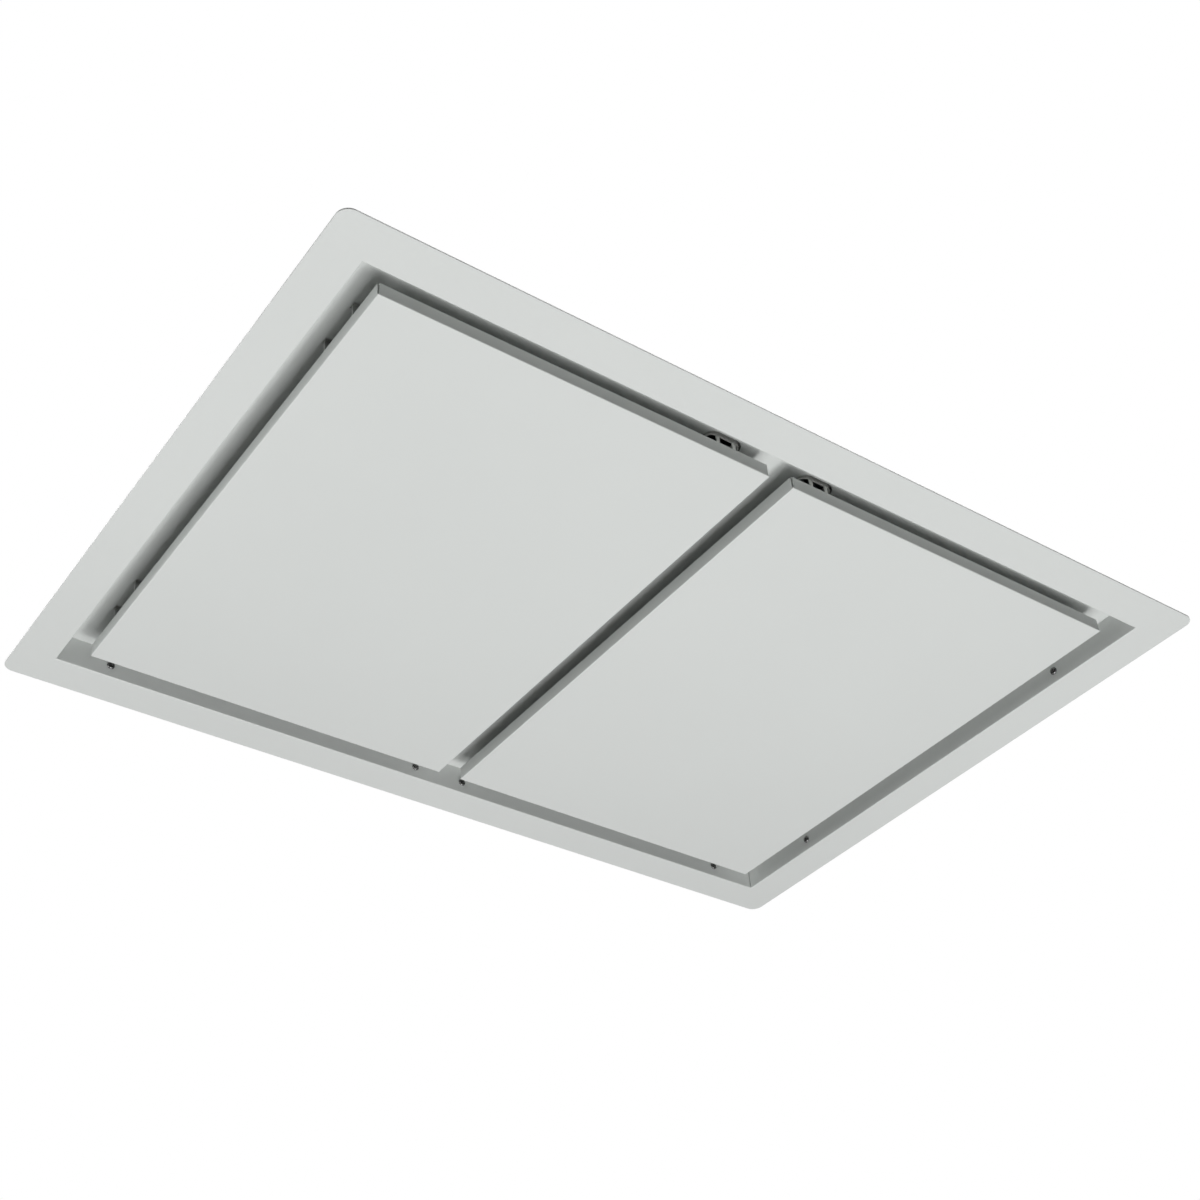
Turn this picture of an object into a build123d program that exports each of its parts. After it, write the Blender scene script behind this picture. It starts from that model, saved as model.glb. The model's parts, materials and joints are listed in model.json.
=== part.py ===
from build123d import *
import os
from math import acos, atan, cos, degrees, pi, radians, sin, tan

# A flush ceiling range hood. Sizes are in millimetres. The origin is the centre of the trim
# frame's visible face, +Z goes up into the ceiling and +X lies along the long side.

# Trim frame, the only part that the room sees besides the panels
frame_length = 1000.0
frame_depth = 700.0
frame_border = 42.0  # width of the flat rim
frame_corner_radius = 12.0
frame_sheet = 1.5
frame_fold_radius = 1.2  # bend from the rim into the recess wall
recess_height = 32.5  # rim's face to the recess ceiling
corner_seam = 0.4  # open seam where two recess walls meet

# Screws through the recess walls into the casing
frame_screw_radius = 2.0
frame_screw_head_radius = 4.2
frame_screw_head_height = 2.1
frame_screw_head_taper = 32.0
frame_screw_length = 9.0
frame_screw_z = 14.0
frame_screw_long_inset = 58.0  # outer screws of a long side, from the recess's corners
frame_screw_middle = 31.0  # inner screws of a long side, each way from its middle
frame_screw_short_inset = 108.0  # screws of a short side, from the recess's corners
hole_slack = 0.3  # a fastener's hole is this much larger in radius
shank_sides = 8  # small shanks and their holes have this many flats
turned_sides = 12  # and small turned pieces this many

# Two drop-down panels
panel_end_gap = 27.4  # air gap at each short side of the recess
panel_side_gap = 22.4  # air gap at each long side
panel_middle_gap = 28.2  # air gap between the panels
panel_sheet = 1.2
panel_edge = 14.5  # height of the folded edges
panel_return = 6.0  # second fold, inwards
panel_fold_radius = 1.0
panel_slit = 1.6  # open corner between two folded edges
channel_width = 50.0  # stiffening channels inside each panel
channel_height = 10.8
channel_foot = 9.0
channel_end_gap = 14.0
channel_inset = 135.6  # channel's middle from the panel's side edge

# Panel hinges, two at the outer short side of each panel
hinge_inset = 7.5  # pin's axis inside the panel's outer edge
hinge_z = 21.0
hinge_side_inset = 70.6  # hinge's middle from the panel's side edge
hinge_pin_radius = 2.5
hinge_running_fit = 0.05
hinge_pin_overhang = 2.0
ear_pitch = 48.0  # between the two ears of one hinge
ear_sheet = 1.5
ear_width = 11.0
ear_corner = 4.0
ear_slot_length = 8.0
ear_slot_width = 12.0
bracket_width = 30.0
bracket_margin = 8.0  # bracket's plate beyond each ear
leaf_sheet = 2.0
leaf_gap = 1.0  # between the leaf and each ear
leaf_foot = 36.0

# Catches near the middle gap: a strike on the panel and a moulded clip in the recess ceiling
catch_end_inset = 42.4  # catch's middle from the panel's inner edge
catch_side_inset = 14.6  # and from its side edge
catch_slot_length = 43.0
catch_slot_width = 23.0
clip_length = 62.0
clip_width = 20.0
clip_wall = 1.2
clip_foot = 6.0
clip_rise = 7.0  # underside of the clip's bridge above the intake plate
cup_length = 39.0
cup_width = 16.0
cup_drop = 1.0  # the cup's reach below the recess ceiling
leg_offset = 9.4  # leg's middle from the catch's middle
leg_root_width = 4.0
leg_tip_width = 2.4
leg_tip_z = 16.0
hook_tip_z = 18.0
hook_top_z = 21.0
hook_tip = 3.4  # from the catch's middle
strike_length = 26.0
strike_foot_width = 14.0
strike_foot_sheet = 1.8
strike_neck_half = 1.5  # half the blade's thickness
strike_head_half = 4.2  # and half its head's
strike_neck_z = 17.5
strike_head_z = 20.0
strike_top_z = 24.0

# Rubber buffers between the recess ceiling and the closed panels
buffer_radius = 6.0
buffer_tip_radius = 4.2
buffer_inset = 30.9  # from the panel's inner edge
buffer_slack = 0.3

# Intake plate, the ceiling of the recess
plate_sheet = 1.2
plate_flange = 11.0
plate_slack = 0.2
guide_height = 8.0  # folded guides beside the filters
guide_end_gap = 20.0

# Grease filters
filter_margin = 83.0  # plate between a filter opening and the recess walls
filter_web = 170.0  # plate between the two filter openings
filter_slack = 0.8
filter_height = 10.0
filter_wall = 1.2
filter_lip = 12.0
pleat_pitch = 20.0
pleat_sheet = 3.0
pleat_gap = 0.2  # around the pack
tongue_reach = 8.0
tongue_width = 22.0
tongue_sheet = 2.0
tongue_overlap = 0.5  # tongue's root in the frame's wall
tongue_spacing = 240.0

# Filter latch
latch_boss_length = 34.0
latch_boss_width = 44.0
latch_pocket_wall = 2.0
latch_bolt_width = 18.0
latch_bolt_sheet = 3.0
latch_reach = 6.0  # bolt over the plate
latch_travel = 7.0
latch_body_length = 14.0
latch_tab_width = 14.0
latch_tab_sheet = 3.0
latch_tab_drop = 4.0  # finger tab below the filter
latch_tab_inset = 4.0
latch_seat_gap = 0.3  # bolt over the plate's top
latch_side_gap = 0.3
latch_nose = 1.8
latch_slot_gap = 0.5  # around the finger tab
latch_tab_round = 3.2
latch_spring_sheet = 0.5
latch_spring_span = 24.0
latch_spring_height = 3.0

# Plenum, the wide lower box: upright skirts that slope in above the recess, under a flat deck
casing_sheet = 1.0
casing_slack = 0.5  # around the frame's recess walls
casing_lift = 4.0  # skirt's lower edge above the rim's face
casing_shoulder = 45.0  # where the skirts begin to slope
casing_height = 110.0  # deck's top above the rim's face
casing_inset = 52.0  # the deck's edge inside the skirt
bead_end_inset = 79.0  # bead's ends from the deck's long edges
bead_width = 16.0
bead_height = 3.0
bead_taper = 35.0
bead_side_inset = 49.0  # outer bead from the deck's short edge
bead_pitch = 60.0
bead_count = 3

# Outlet spigot for a 150 mm duct, with its backdraught flaps
spigot_radius = 74.5
spigot_wall = 2.5
spigot_length = 68.0
spigot_flange_width = 8.0
spigot_flange_sheet = 3.0
spigot_margin = 1.5  # flange to the edges of the motor box's wall
spigot_bevel = 3.0  # lead-in at the mouth, along the axis
spigot_bevel_depth = 1.5  # and across the wall
stop_reach = 4.0  # stops that the closed flaps rest on
stop_height = 24.0
stop_sheet = 1.5
stop_y = 6.0  # stop's back from the flange's back
flap_sheet = 1.5
flap_slack = 1.0
flap_seat_gap = 0.3
flap_pin_radius = 2.0
flap_running_fit = 0.05
flap_knuckle_radius = 4.0
flap_knuckle_length = 50.0
flap_knuckle_gap = 1.0  # each side of the middle
flap_edge_gap = 0.6  # flap's straight edge to the other flap's knuckle
flap_pin_socket = 1.5

# Motor box, the narrow upper box, set back towards the far side of the deck
box_length = 370.0
box_depth = 370.0
box_margin = 4.0  # its flange to the deck's far edge
box_flange = 15.0
lid_lip = 8.0
lid_slack = 0.3
lid_panel_margin = 45.0
lid_panel_height = 4.0
lid_panel_taper = 45.0
lid_screw_radius = 2.0
lid_screw_head = 3.5  # half the head's width across flats
lid_screw_head_height = 2.4
lid_screw_length = 6.0
lid_screw_spacing = 240.0
wire_hole_radius = 12.0

# Fan
wheel_radius = 100.0
wheel_inner_radius = 85.0
wheel_ring_margin = 1.0  # rings beyond the blades, both ways
wheel_height = 80.0
wheel_sheet = 1.5
wheel_end_gap = 12.0
blade_count = 30
blade_sheet = 1.0
blade_sweep = 13.0  # how far a blade's tip leans forward
blade_flats = 2
hub_radius = 12.0
round_sides = 30  # flats round the wheel, its inlet and the motor
hub_floor_radius = 51.0
hub_floor_depth = 44.0  # dished hub below the wheel's top
hub_length = 12.0
shaft_radius = 4.0
shaft_running_fit = 0.05
shaft_below_hub = 6.0
nut_flats = 13.0
nut_height = 5.0
scroll_growth = 9.0  # half the side of the square that the scroll's arcs turn about
scroll_start_gap = 14.0  # scroll to wheel, a quarter turn after the tongue
scroll_sheet = 1.2
scroll_inner_height = 104.0
outlet_width = 104.0
tongue_radius = 5.0
throat_radius = 80.0
bell_rise = 32.0  # the flare is as wide as it is high
bell_sheet = 1.2
bell_flange = 5.0
bell_overlap = 5.0  # throat's reach into the wheel
post_radius = 6.0
post_inset = 8.0  # post's middle inside the scroll's edge
post_outlet_inset = 24.0  # the outlet's post from the motor box's wall
scroll_wall_gap = 10.8  # scroll to the motor box's near wall

# Motor
motor_radius = 48.0
motor_floor_gap = 6.0  # above the dished hub
motor_height = 70.0
motor_slack = 5.0  # around the motor in the scroll's cover
motor_ear_reach = 17.0
motor_ear_radius = 9.0
motor_ear_sheet = 2.5
motor_ear_turn = 30.0
motor_ear_count = 3
motor_bevel = 4.0
motor_slot_count = 8
motor_slot_width = 5.0
motor_slot_depth = 6.0
motor_slot_start = 19.0
motor_slot_end = 38.0
motor_shaft_inside = 60.0  # shaft's reach into the motor
motor_bore_end_gap = 2.0
grommet_radius = 8.0
grommet_height = 4.0
motor_bolt_radius = 2.5
motor_bolt_head = 4.0
motor_bolt_head_height = 3.0

# Control box on the motor box's side
control_depth = 60.0
control_length = 190.0
control_height = 110.0
control_sheet = 1.2
control_lift = 15.0
control_lip = 8.0
control_slack = 0.2
board_length = 140.0
board_height = 84.0
board_sheet = 1.6
board_gap = 7.0
board_post_width = 6.0
board_post_inset = 8.0
board_part_inset = 6.0  # parts on the board, from its short edges
board_part_rise = 4.0  # and from its long edges
terminal_length = 56.0
terminal_height = 20.0
terminal_depth = 15.0
terminal_ways = 5
terminal_well = 5.0
terminal_well_depth = 6.0
terminal_well_z = 13.0
terminal_mouth = 6.0
terminal_mouth_gap = 3.0  # wire mouth above the board
terminal_mouth_height = 8.0
capacitor_width = 28.0
capacitor_depth = 26.0
capacitor_length = 55.0
gland_x = 27.0  # from the tray's back
gland_z = 33.0  # from the tray's floor
gland_bore_radius = 4.0
gland_flats = 22.0
gland_thread_radius = 7.9
gland_hex_length = 6.0
gland_nut_length = 12.0
gland_nut_taper = 20.0
gland_tail_length = 7.0

# Hanging brackets for threaded rods
hanger_side_inset = 8.0  # foot's end from the deck's short edge
hanger_end_inset = 50.0  # foot's middle from the deck's long edge
hanger_height = 50.0
hanger_width = 40.0
hanger_sheet = 3.0
hanger_arm = 40.0
hanger_foot = 40.0
hanger_rod_hole_radius = 4.5
hanger_bolt_radius = 3.0
hanger_bolt_flats = 10.0
hanger_bolt_head_height = 4.0
hanger_bolt_length = 6.0  # below the deck's top
hanger_corner = 8.0

# What follows from the sizes above
opening_length = frame_length - 2 * frame_border
opening_depth = frame_depth - 2 * frame_border
panel_length = (opening_length - 2 * panel_end_gap - panel_middle_gap) / 2
panel_depth = opening_depth - 2 * panel_side_gap
panel_inner = panel_middle_gap / 2
panel_outer = panel_inner + panel_length
hinge_x = panel_outer - hinge_inset
hinge_y = panel_depth / 2 - hinge_side_inset
channel_y = panel_depth / 2 - channel_inset
catch_x = panel_inner + catch_end_inset
catch_y = panel_depth / 2 - catch_side_inset
buffer_x = panel_inner + buffer_inset
knuckle_bore = hinge_pin_radius + hinge_running_fit
knuckle_radius = knuckle_bore + leaf_sheet

casing_inner_length = opening_length + 2 * (frame_sheet + casing_slack)
casing_inner_depth = opening_depth + 2 * (frame_sheet + casing_slack)
casing_length = casing_inner_length + 2 * casing_sheet
casing_depth = casing_inner_depth + 2 * casing_sheet
casing_slope = degrees(atan(casing_inset / (casing_height - casing_shoulder)))
deck_length = casing_length - 2 * casing_inset
deck_depth = casing_depth - 2 * casing_inset
plate_top = recess_height + plate_sheet

filter_inner = filter_web / 2
filter_outer = opening_length / 2 - filter_margin
filter_opening_depth = opening_depth - 2 * filter_margin
filter_top = recess_height + filter_height

spigot_bore = spigot_radius - spigot_wall
spigot_flange_radius = spigot_radius + spigot_flange_width
box_height = casing_sheet + 2 * spigot_flange_radius + 2 * spigot_margin + lid_lip
box_top = casing_height + box_height
box_y = deck_depth / 2 - box_margin - box_flange - box_depth / 2
spigot_z = casing_height + casing_sheet + spigot_margin + spigot_flange_radius
flap_y = box_depth / 2 + stop_y + stop_sheet + flap_seat_gap + flap_sheet / 2

scroll_first_radius = wheel_radius + scroll_start_gap + scroll_growth
scroll_side = scroll_first_radius + 5 * scroll_growth
tongue_side = scroll_side - outlet_width
scroll_near = scroll_first_radius + 3 * scroll_growth
scroll_left = scroll_first_radius + scroll_growth
fan_x = (scroll_left - scroll_side) / 2
fan_y = scroll_near + scroll_sheet + scroll_wall_gap + casing_sheet - box_depth / 2
spigot_x = fan_x + scroll_side - outlet_width / 2
scroll_floor = spigot_z - scroll_inner_height / 2
scroll_roof = spigot_z + scroll_inner_height / 2
cover_top = scroll_roof + scroll_sheet
scroll_outlet = box_depth / 2 - casing_sheet - fan_y
wheel_bottom = scroll_floor + wheel_end_gap
wheel_top = wheel_bottom + wheel_height
hub_floor = wheel_top - hub_floor_depth
bell_wall = bell_sheet / cos(radians(45))  # the flare's wall, measured flat
motor_bottom = hub_floor + wheel_sheet + motor_floor_gap
ear_bottom = cover_top + grommet_height
control_back = box_length / 2
control_bottom = casing_height + control_lift
control_middle_z = control_bottom + control_height / 2
hanger_spacing_x = deck_length - 2 * (hanger_side_inset + hanger_foot + hanger_arm / 2)
hanger_spacing_y = deck_depth - 2 * hanger_end_inset
through = 5.0  # a cut's reach past the sheet that it goes through


def block(x, y, z):
    """A box between pairs of low and high coordinates."""
    size = (x[1] - x[0], y[1] - y[0], z[1] - z[0])
    middle = ((x[0] + x[1]) / 2, (y[0] + y[1]) / 2, (z[0] + z[1]) / 2)
    return Pos(*middle) * Box(*size)


def centred(length, depth, z):
    """A box centred on the origin in plan, between two heights."""
    return block((-length / 2, length / 2), (-depth / 2, depth / 2), z)


def rod(radius, start, end):
    """A round bar from one point to another."""
    start, end = Vector(*start), Vector(*end)
    way = end - start
    return extrude(Plane(start, z_dir=way) * Circle(radius), way.length)


def bar(radius, start, end, sides=shank_sides):
    """A many-sided bar from one point to another, its radius at the corners."""
    start, end = Vector(*start), Vector(*end)
    way = end - start
    return extrude(Plane(start, z_dir=way) * RegularPolygon(radius, sides), way.length)


def turned(sections, sides=turned_sides):
    """A many-sided turned piece as slices: corner radius below and above, low and high z."""
    slices = []
    for below, above, low, high in sections:
        wide = RegularPolygon(max(below, above), sides)
        taper = degrees(atan(abs(below - above) * cos(pi / sides) / (high - low)))
        piece = extrude(wide, high - low, taper=taper)
        slices.append(Pos(0, 0, low) * piece if below >= above else Pos(0, 0, high) * Rot(180, 0, 0) * piece)
    return slices[0] + slices[1:] if len(slices) > 1 else slices[0]


def hex_screw(head_flats, head_height, radius, length):
    """Hex head standing on the plane z = 0, with its shank below."""
    head = extrude(RegularPolygon(head_flats, 6, major_radius=False), head_height)
    return head + bar(radius, (0, 0, -length), (0, 0, 0))


def prism_y(profile, y):
    """A profile drawn as (x, z), drawn out between two values of y."""
    return extrude(Plane((0, y[1], 0), x_dir=(1, 0, 0), z_dir=(0, -1, 0)) * profile, y[1] - y[0])


def prism_x(profile, x):
    """A profile drawn as (y, z), drawn out between two values of x."""
    return extrude(Plane((x[0], 0, 0), x_dir=(0, 1, 0), z_dir=(1, 0, 0)) * profile, x[1] - x[0])


def at_box(shapes):
    """Pieces drawn about the motor box's middle, moved to its place on the deck."""
    return [Pos(0, box_y, 0) * shape for shape in shapes]


def on_side(shapes, side):
    """Pieces drawn on the right, kept there or mirrored to the left."""
    return shapes if side > 0 else [mirror(shape, about=Plane.YZ) for shape in shapes]


def save(name, shapes):
    solids = [solid for shape in shapes for solid in shape.solids()]
    whole = solids[0] if len(solids) == 1 else Compound(solids)
    export_step(whole, f"parts/{name}.step")


def frame_screw_seats():
    """Point on the recess wall's inner face and outward direction of each frame screw."""
    half_x, half_y = opening_length / 2, opening_depth / 2
    along_x = (half_x - frame_screw_long_inset, frame_screw_middle)
    along_y = half_y - frame_screw_short_inset
    seats = []
    for side in (-1, 1):
        for flip in (-1, 1):
            seats += [((flip * x, side * half_y), (0, side)) for x in along_x]
            seats.append(((side * half_x, flip * along_y), (side, 0)))
    return seats


def frame_screw_holes():
    holes = []
    for (x, y), (u, v) in frame_screw_seats():
        start = (x - u, y - v, frame_screw_z)
        end = (x + u * frame_screw_length, y + v * frame_screw_length, frame_screw_z)
        holes.append(bar(frame_screw_radius + hole_slack, start, end))
    return holes


def rim_frame():
    """Flat rim with rounded corners and four walls folded up from its opening."""
    rim = extrude(RectangleRounded(frame_length, frame_depth, frame_corner_radius), frame_sheet)
    wall_height = (0, recess_height)
    walls = centred(opening_length + 2 * frame_sheet, opening_depth + 2 * frame_sheet, wall_height)
    frame = rim + walls - centred(opening_length, opening_depth, (-1, recess_height + 1))
    folds = [
        edge
        for edge in frame.edges().group_by(Axis.Z)[0]
        if abs(edge.center().X) < opening_length / 2 + frame_sheet
        and abs(edge.center().Y) < opening_depth / 2 + frame_sheet
    ]
    frame = fillet(folds, frame_fold_radius)
    seam_foot = frame_sheet + frame_fold_radius
    for sx in (-1, 1):
        for sy in (-1, 1):
            x = sx * (opening_length / 2 - corner_seam)
            y = sy * (opening_depth / 2 - corner_seam)
            reach = frame_sheet + 2 * corner_seam
            frame -= block(
                sorted((x, x + sx * reach)),
                sorted((y, y + sy * reach)),
                (seam_foot, recess_height + 1),
            )
    return frame - frame_screw_holes()


def frame_screws():
    """Button head screws, their heads standing on the recess walls."""
    outline = RegularPolygon(frame_screw_head_radius, turned_sides)
    head = extrude(outline, frame_screw_head_height, taper=frame_screw_head_taper)
    screw = head + bar(frame_screw_radius, (0, 0, -frame_screw_length), (0, 0, 0))
    return [Plane((x, y, frame_screw_z), z_dir=(-u, -v, 0)) * screw for (x, y), (u, v) in frame_screw_seats()]


def panel():
    """Tray folded from one sheet, open at its corners, with a narrow second fold."""
    tray = block((panel_inner, panel_outer), (-panel_depth / 2, panel_depth / 2), (0, panel_edge))
    tray = fillet(tray.edges().group_by(Axis.Z)[0], panel_fold_radius)
    for inset, top in ((panel_sheet, panel_edge - panel_sheet), (panel_return, panel_edge + through)):
        tray -= block(
            (panel_inner + inset, panel_outer - inset),
            (inset - panel_depth / 2, panel_depth / 2 - inset),
            (panel_sheet, top),
        )
    ends = (
        (panel_inner - through, panel_inner + panel_slit),
        (panel_outer - panel_slit, panel_outer + through),
    )
    for x in ends:
        for sy in (-1, 1):
            y = sorted((sy * (panel_depth / 2 - panel_slit), sy * (panel_depth / 2 + through)))
            tray -= block(x, y, (panel_sheet, panel_edge + through))
    return [tray]


def panel_channels():
    """Two hat channels across the inside of a panel."""
    x = (panel_inner + channel_end_gap, panel_outer - channel_end_gap)
    half = channel_width / 2
    low = panel_sheet
    crown = half - channel_foot
    outer = Polyline(
        (-half, low),
        (-half, low + panel_sheet),
        (-crown - panel_sheet, low + panel_sheet),
        (-crown, low + channel_height),
        (crown, low + channel_height),
        (crown + panel_sheet, low + panel_sheet),
        (half, low + panel_sheet),
        (half, low),
        (crown, low),
        (crown - panel_sheet, low + channel_height - panel_sheet),
        (panel_sheet - crown, low + channel_height - panel_sheet),
        (-crown, low),
        close=True,
    )
    hat = prism_x(make_face(outer), x)
    return [Pos(0, sy * channel_y, 0) * hat for sy in (-1, 1)]


def hinge_leaves():
    """Straps welded inside the panel, each rolled round its pin at the top."""
    web_x = hinge_x - knuckle_radius
    section = Pos(hinge_x, hinge_z) * RegularPolygon(knuckle_radius, turned_sides)
    section += Pos(web_x + leaf_sheet / 2, (panel_sheet + hinge_z) / 2) * Rectangle(
        leaf_sheet, hinge_z - panel_sheet
    )
    section += Pos(web_x + leaf_sheet - leaf_foot / 2, panel_sheet + leaf_sheet / 2) * Rectangle(
        leaf_foot, leaf_sheet
    )
    section -= Pos(hinge_x, hinge_z) * Circle(knuckle_bore)
    half = (ear_pitch - ear_sheet) / 2 - leaf_gap
    leaf = prism_y(section, (-half, half))
    return [Pos(0, sy * hinge_y, 0) * leaf for sy in (-1, 1)]


def hinge_brackets():
    """Plates on top of the intake plate, each with two ears down through its slots."""
    half = (ear_pitch + ear_sheet) / 2 + bracket_margin
    plate_high = plate_top + ear_sheet
    bracket = block(
        (hinge_x - bracket_width / 2, hinge_x + bracket_width / 2), (-half, half), (plate_top, plate_high)
    )
    low = hinge_z - ear_width / 2
    ear = Pos(hinge_x, (low + plate_high) / 2) * Rectangle(ear_width, plate_high - low)
    ear = chamfer(ear.vertices().group_by(Axis.Y)[0], ear_corner)
    ear -= Pos(hinge_x, hinge_z) * Circle(hinge_pin_radius)
    for sy in (-1, 1):
        middle = sy * ear_pitch / 2
        bracket += prism_y(ear, (middle - ear_sheet / 2, middle + ear_sheet / 2))
    return [Pos(0, sy * hinge_y, 0) * bracket for sy in (-1, 1)]


def hinge_pins():
    half = (ear_pitch + ear_sheet) / 2 + hinge_pin_overhang
    pin = rod(hinge_pin_radius, (hinge_x, -half, hinge_z), (hinge_x, half, hinge_z))
    return [Pos(0, sy * hinge_y, 0) * pin for sy in (-1, 1)]


def catch_studs(side):
    """Strikes welded inside the panel: a foot and a blade whose head tapers both ways."""
    foot_half = strike_foot_width / 2
    foot_top = panel_sheet + strike_foot_sheet
    half = [
        (foot_half, panel_sheet),
        (foot_half, foot_top),
        (strike_neck_half, foot_top),
        (strike_neck_half, strike_neck_z),
        (strike_head_half, strike_head_z),
        (strike_neck_half, strike_top_z),
    ]
    profile = Polyline(*half, *[(-y, z) for y, z in reversed(half)], close=True)
    blade = prism_x(make_face(profile), (-strike_length / 2, strike_length / 2))
    return [Pos(side * catch_x, sy * catch_y, 0) * blade for sy in (-1, 1)]


def catch_clips(side):
    """Moulded clips: a bridge over each catch slot, a cup through it and four hooked legs."""
    low, high = plate_top, plate_top + clip_rise
    end, knee = clip_length / 2, clip_length / 2 - clip_foot
    half = [
        (knee - clip_wall, high),
        (knee - clip_wall, low),
        (end, low),
        (end, low + clip_wall),
        (knee, low + clip_wall),
        (knee, high + clip_wall),
    ]
    bridge = Polyline(*half, *[(-x, z) for x, z in reversed(half)], close=True)
    clip = prism_y(make_face(bridge), (-clip_width / 2, clip_width / 2))
    cup_low = recess_height - cup_drop
    clip += extrude(Pos(0, 0, cup_low) * SlotOverall(cup_length, cup_width), high - cup_low)
    window = SlotOverall(cup_length - 2 * clip_wall, cup_width - 2 * clip_wall)
    clip -= extrude(Pos(0, 0, cup_low - through) * window, high + clip_wall - cup_low + 2 * through)
    legs = [clip_leg(cup_low), mirror(clip_leg(cup_low), about=Plane.YZ)]
    clip += legs + [mirror(leg, about=Plane.XZ) for leg in legs]
    return [Pos(side * catch_x, sy * catch_y, 0) * clip for sy in (-1, 1)]


def clip_leg(root_z):
    """One leg of a clip, tapered downwards, with a hook on its inner face."""
    outside = cup_width / 2
    inside = outside - clip_wall
    root, tip = leg_root_width / 2, leg_tip_width / 2
    face = Polyline(
        (leg_offset - root, root_z),
        (leg_offset + root, root_z),
        (leg_offset + tip, leg_tip_z),
        (leg_offset - tip, leg_tip_z),
        close=True,
    )
    hook = Polyline((inside, leg_tip_z), (hook_tip, hook_tip_z), (inside, hook_top_z), close=True)
    leg = prism_y(make_face(face), (inside, outside))
    return leg + prism_x(make_face(hook), (leg_offset - tip, leg_offset + tip))


def panel_buffers():
    """Rubber feet under the recess ceiling that the closed panels' channels press on."""
    low = panel_sheet + channel_height + buffer_slack
    foot = turned([(buffer_tip_radius, buffer_radius, low, recess_height)])
    return [Pos(sx * buffer_x, sy * channel_y, 0) * foot for sx in (-1, 1) for sy in (-1, 1)]


def filter_opening(side, slack=0.0):
    """Low and high x and y of a filter's opening, shrunk by a slack."""
    x = (filter_inner + slack, filter_outer - slack)
    y = (slack - filter_opening_depth / 2, filter_opening_depth / 2 - slack)
    return (x if side > 0 else (-x[1], -x[0])), y


def intake_plate():
    """Recess ceiling with upturned flanges, filter openings, guides and slots."""
    length = casing_inner_length - 2 * plate_slack
    depth = casing_inner_depth - 2 * plate_slack
    flange_top = recess_height + plate_flange
    plate = centred(length, depth, (recess_height, flange_top))
    plate -= centred(length - 2 * plate_sheet, depth - 2 * plate_sheet, (plate_top, flange_top + through))
    cut = (recess_height - through, plate_top + through)
    slot_outline = SlotOverall(catch_slot_length, catch_slot_width)
    slot = Pos(0, 0, cut[0]) * extrude(slot_outline, cut[1] - cut[0])
    for side in (-1, 1):
        x, y = filter_opening(side)
        plate -= block(x, y, cut)
        for sy in (-1, 1):
            guide = sorted((sy * y[1], sy * (y[1] + plate_sheet)))
            guide_top = plate_top + guide_height
            plate += block((x[0] + guide_end_gap, x[1] - guide_end_gap), guide, (recess_height, guide_top))
            plate -= Pos(side * catch_x, sy * catch_y, 0) * slot
            for ear in (-1, 1):
                ear_y = sy * hinge_y + ear * ear_pitch / 2
                ear_slot = centred(ear_slot_width, ear_slot_length, cut)
                plate -= Pos(side * hinge_x, ear_y, 0) * ear_slot
    return [plate]


def latch_pocket():
    """x, y and z ranges of the pocket in a filter's frame that holds its latch."""
    x = (
        filter_inner + filter_slack + latch_pocket_wall,
        filter_inner + filter_slack + latch_boss_length - latch_pocket_wall,
    )
    half = latch_boss_width / 2 - latch_pocket_wall
    return x, (-half, half), (plate_top, filter_top - filter_wall)


def latch_bolt_z():
    low = plate_top + latch_seat_gap
    return (low, low + latch_bolt_sheet)


def filter_frame():
    """Aluminium channel frame with hook tongues at its outer end and a latch pocket."""
    x, y = filter_opening(1, filter_slack)
    frame = block(x, y, (recess_height, filter_top))
    frame -= block(
        (x[0] + filter_lip, x[1] - filter_lip),
        (y[0] + filter_lip, y[1] - filter_lip),
        (recess_height - through, filter_top + through),
    )
    frame -= block(
        (x[0] + filter_wall, x[1] - filter_wall),
        (y[0] + filter_wall, y[1] - filter_wall),
        (recess_height + filter_wall, filter_top - filter_wall),
    )
    half = latch_boss_width / 2
    frame += block((x[0], x[0] + latch_boss_length), (-half, half), (recess_height, filter_top))
    pocket = latch_pocket()
    frame -= block(*pocket)
    bolt_half = latch_bolt_width / 2 + latch_side_gap
    bolt_top = latch_bolt_z()[1] + latch_side_gap
    frame -= block((x[0] - through, pocket[0][0]), (-bolt_half, bolt_half), (plate_top, bolt_top))
    tab_half = latch_tab_width / 2 + latch_slot_gap
    tab_x = pocket[0][0] + latch_tab_inset
    frame -= block(
        (tab_x - latch_slot_gap, tab_x + latch_tab_sheet + latch_travel + latch_slot_gap),
        (-tab_half, tab_half),
        (recess_height - through, plate_top),
    )
    for sy in (-1, 1):
        middle = sy * tongue_spacing / 2
        frame += block(
            (x[1] - tongue_overlap, x[1] + tongue_reach),
            (middle - tongue_width / 2, middle + tongue_width / 2),
            (plate_top, plate_top + tongue_sheet),
        )
    return [frame]


def filter_mesh():
    """Pleated pack of aluminium mesh that fills the frame, cut away round the latch."""
    x, y = filter_opening(1, filter_slack + filter_wall + pleat_gap)
    low = recess_height + filter_wall + pleat_gap
    high = filter_top - filter_wall - pleat_gap
    pleats = round((x[1] - x[0]) / pleat_pitch)
    step = (x[1] - x[0]) / pleats / 2
    rise = high - low - pleat_sheet
    under = [(x[0] + i * step, low + (i % 2) * rise) for i in range(2 * pleats + 1)]
    over = [(px, pz + pleat_sheet) for px, pz in reversed(under)]
    pack = prism_y(make_face(Polyline(*under, *over, close=True)), y)
    half = latch_boss_width / 2 + pleat_gap
    pack -= block((x[0] - through, x[0] + latch_boss_length), (-half, half), (low - through, high + through))
    return [pack]


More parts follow.
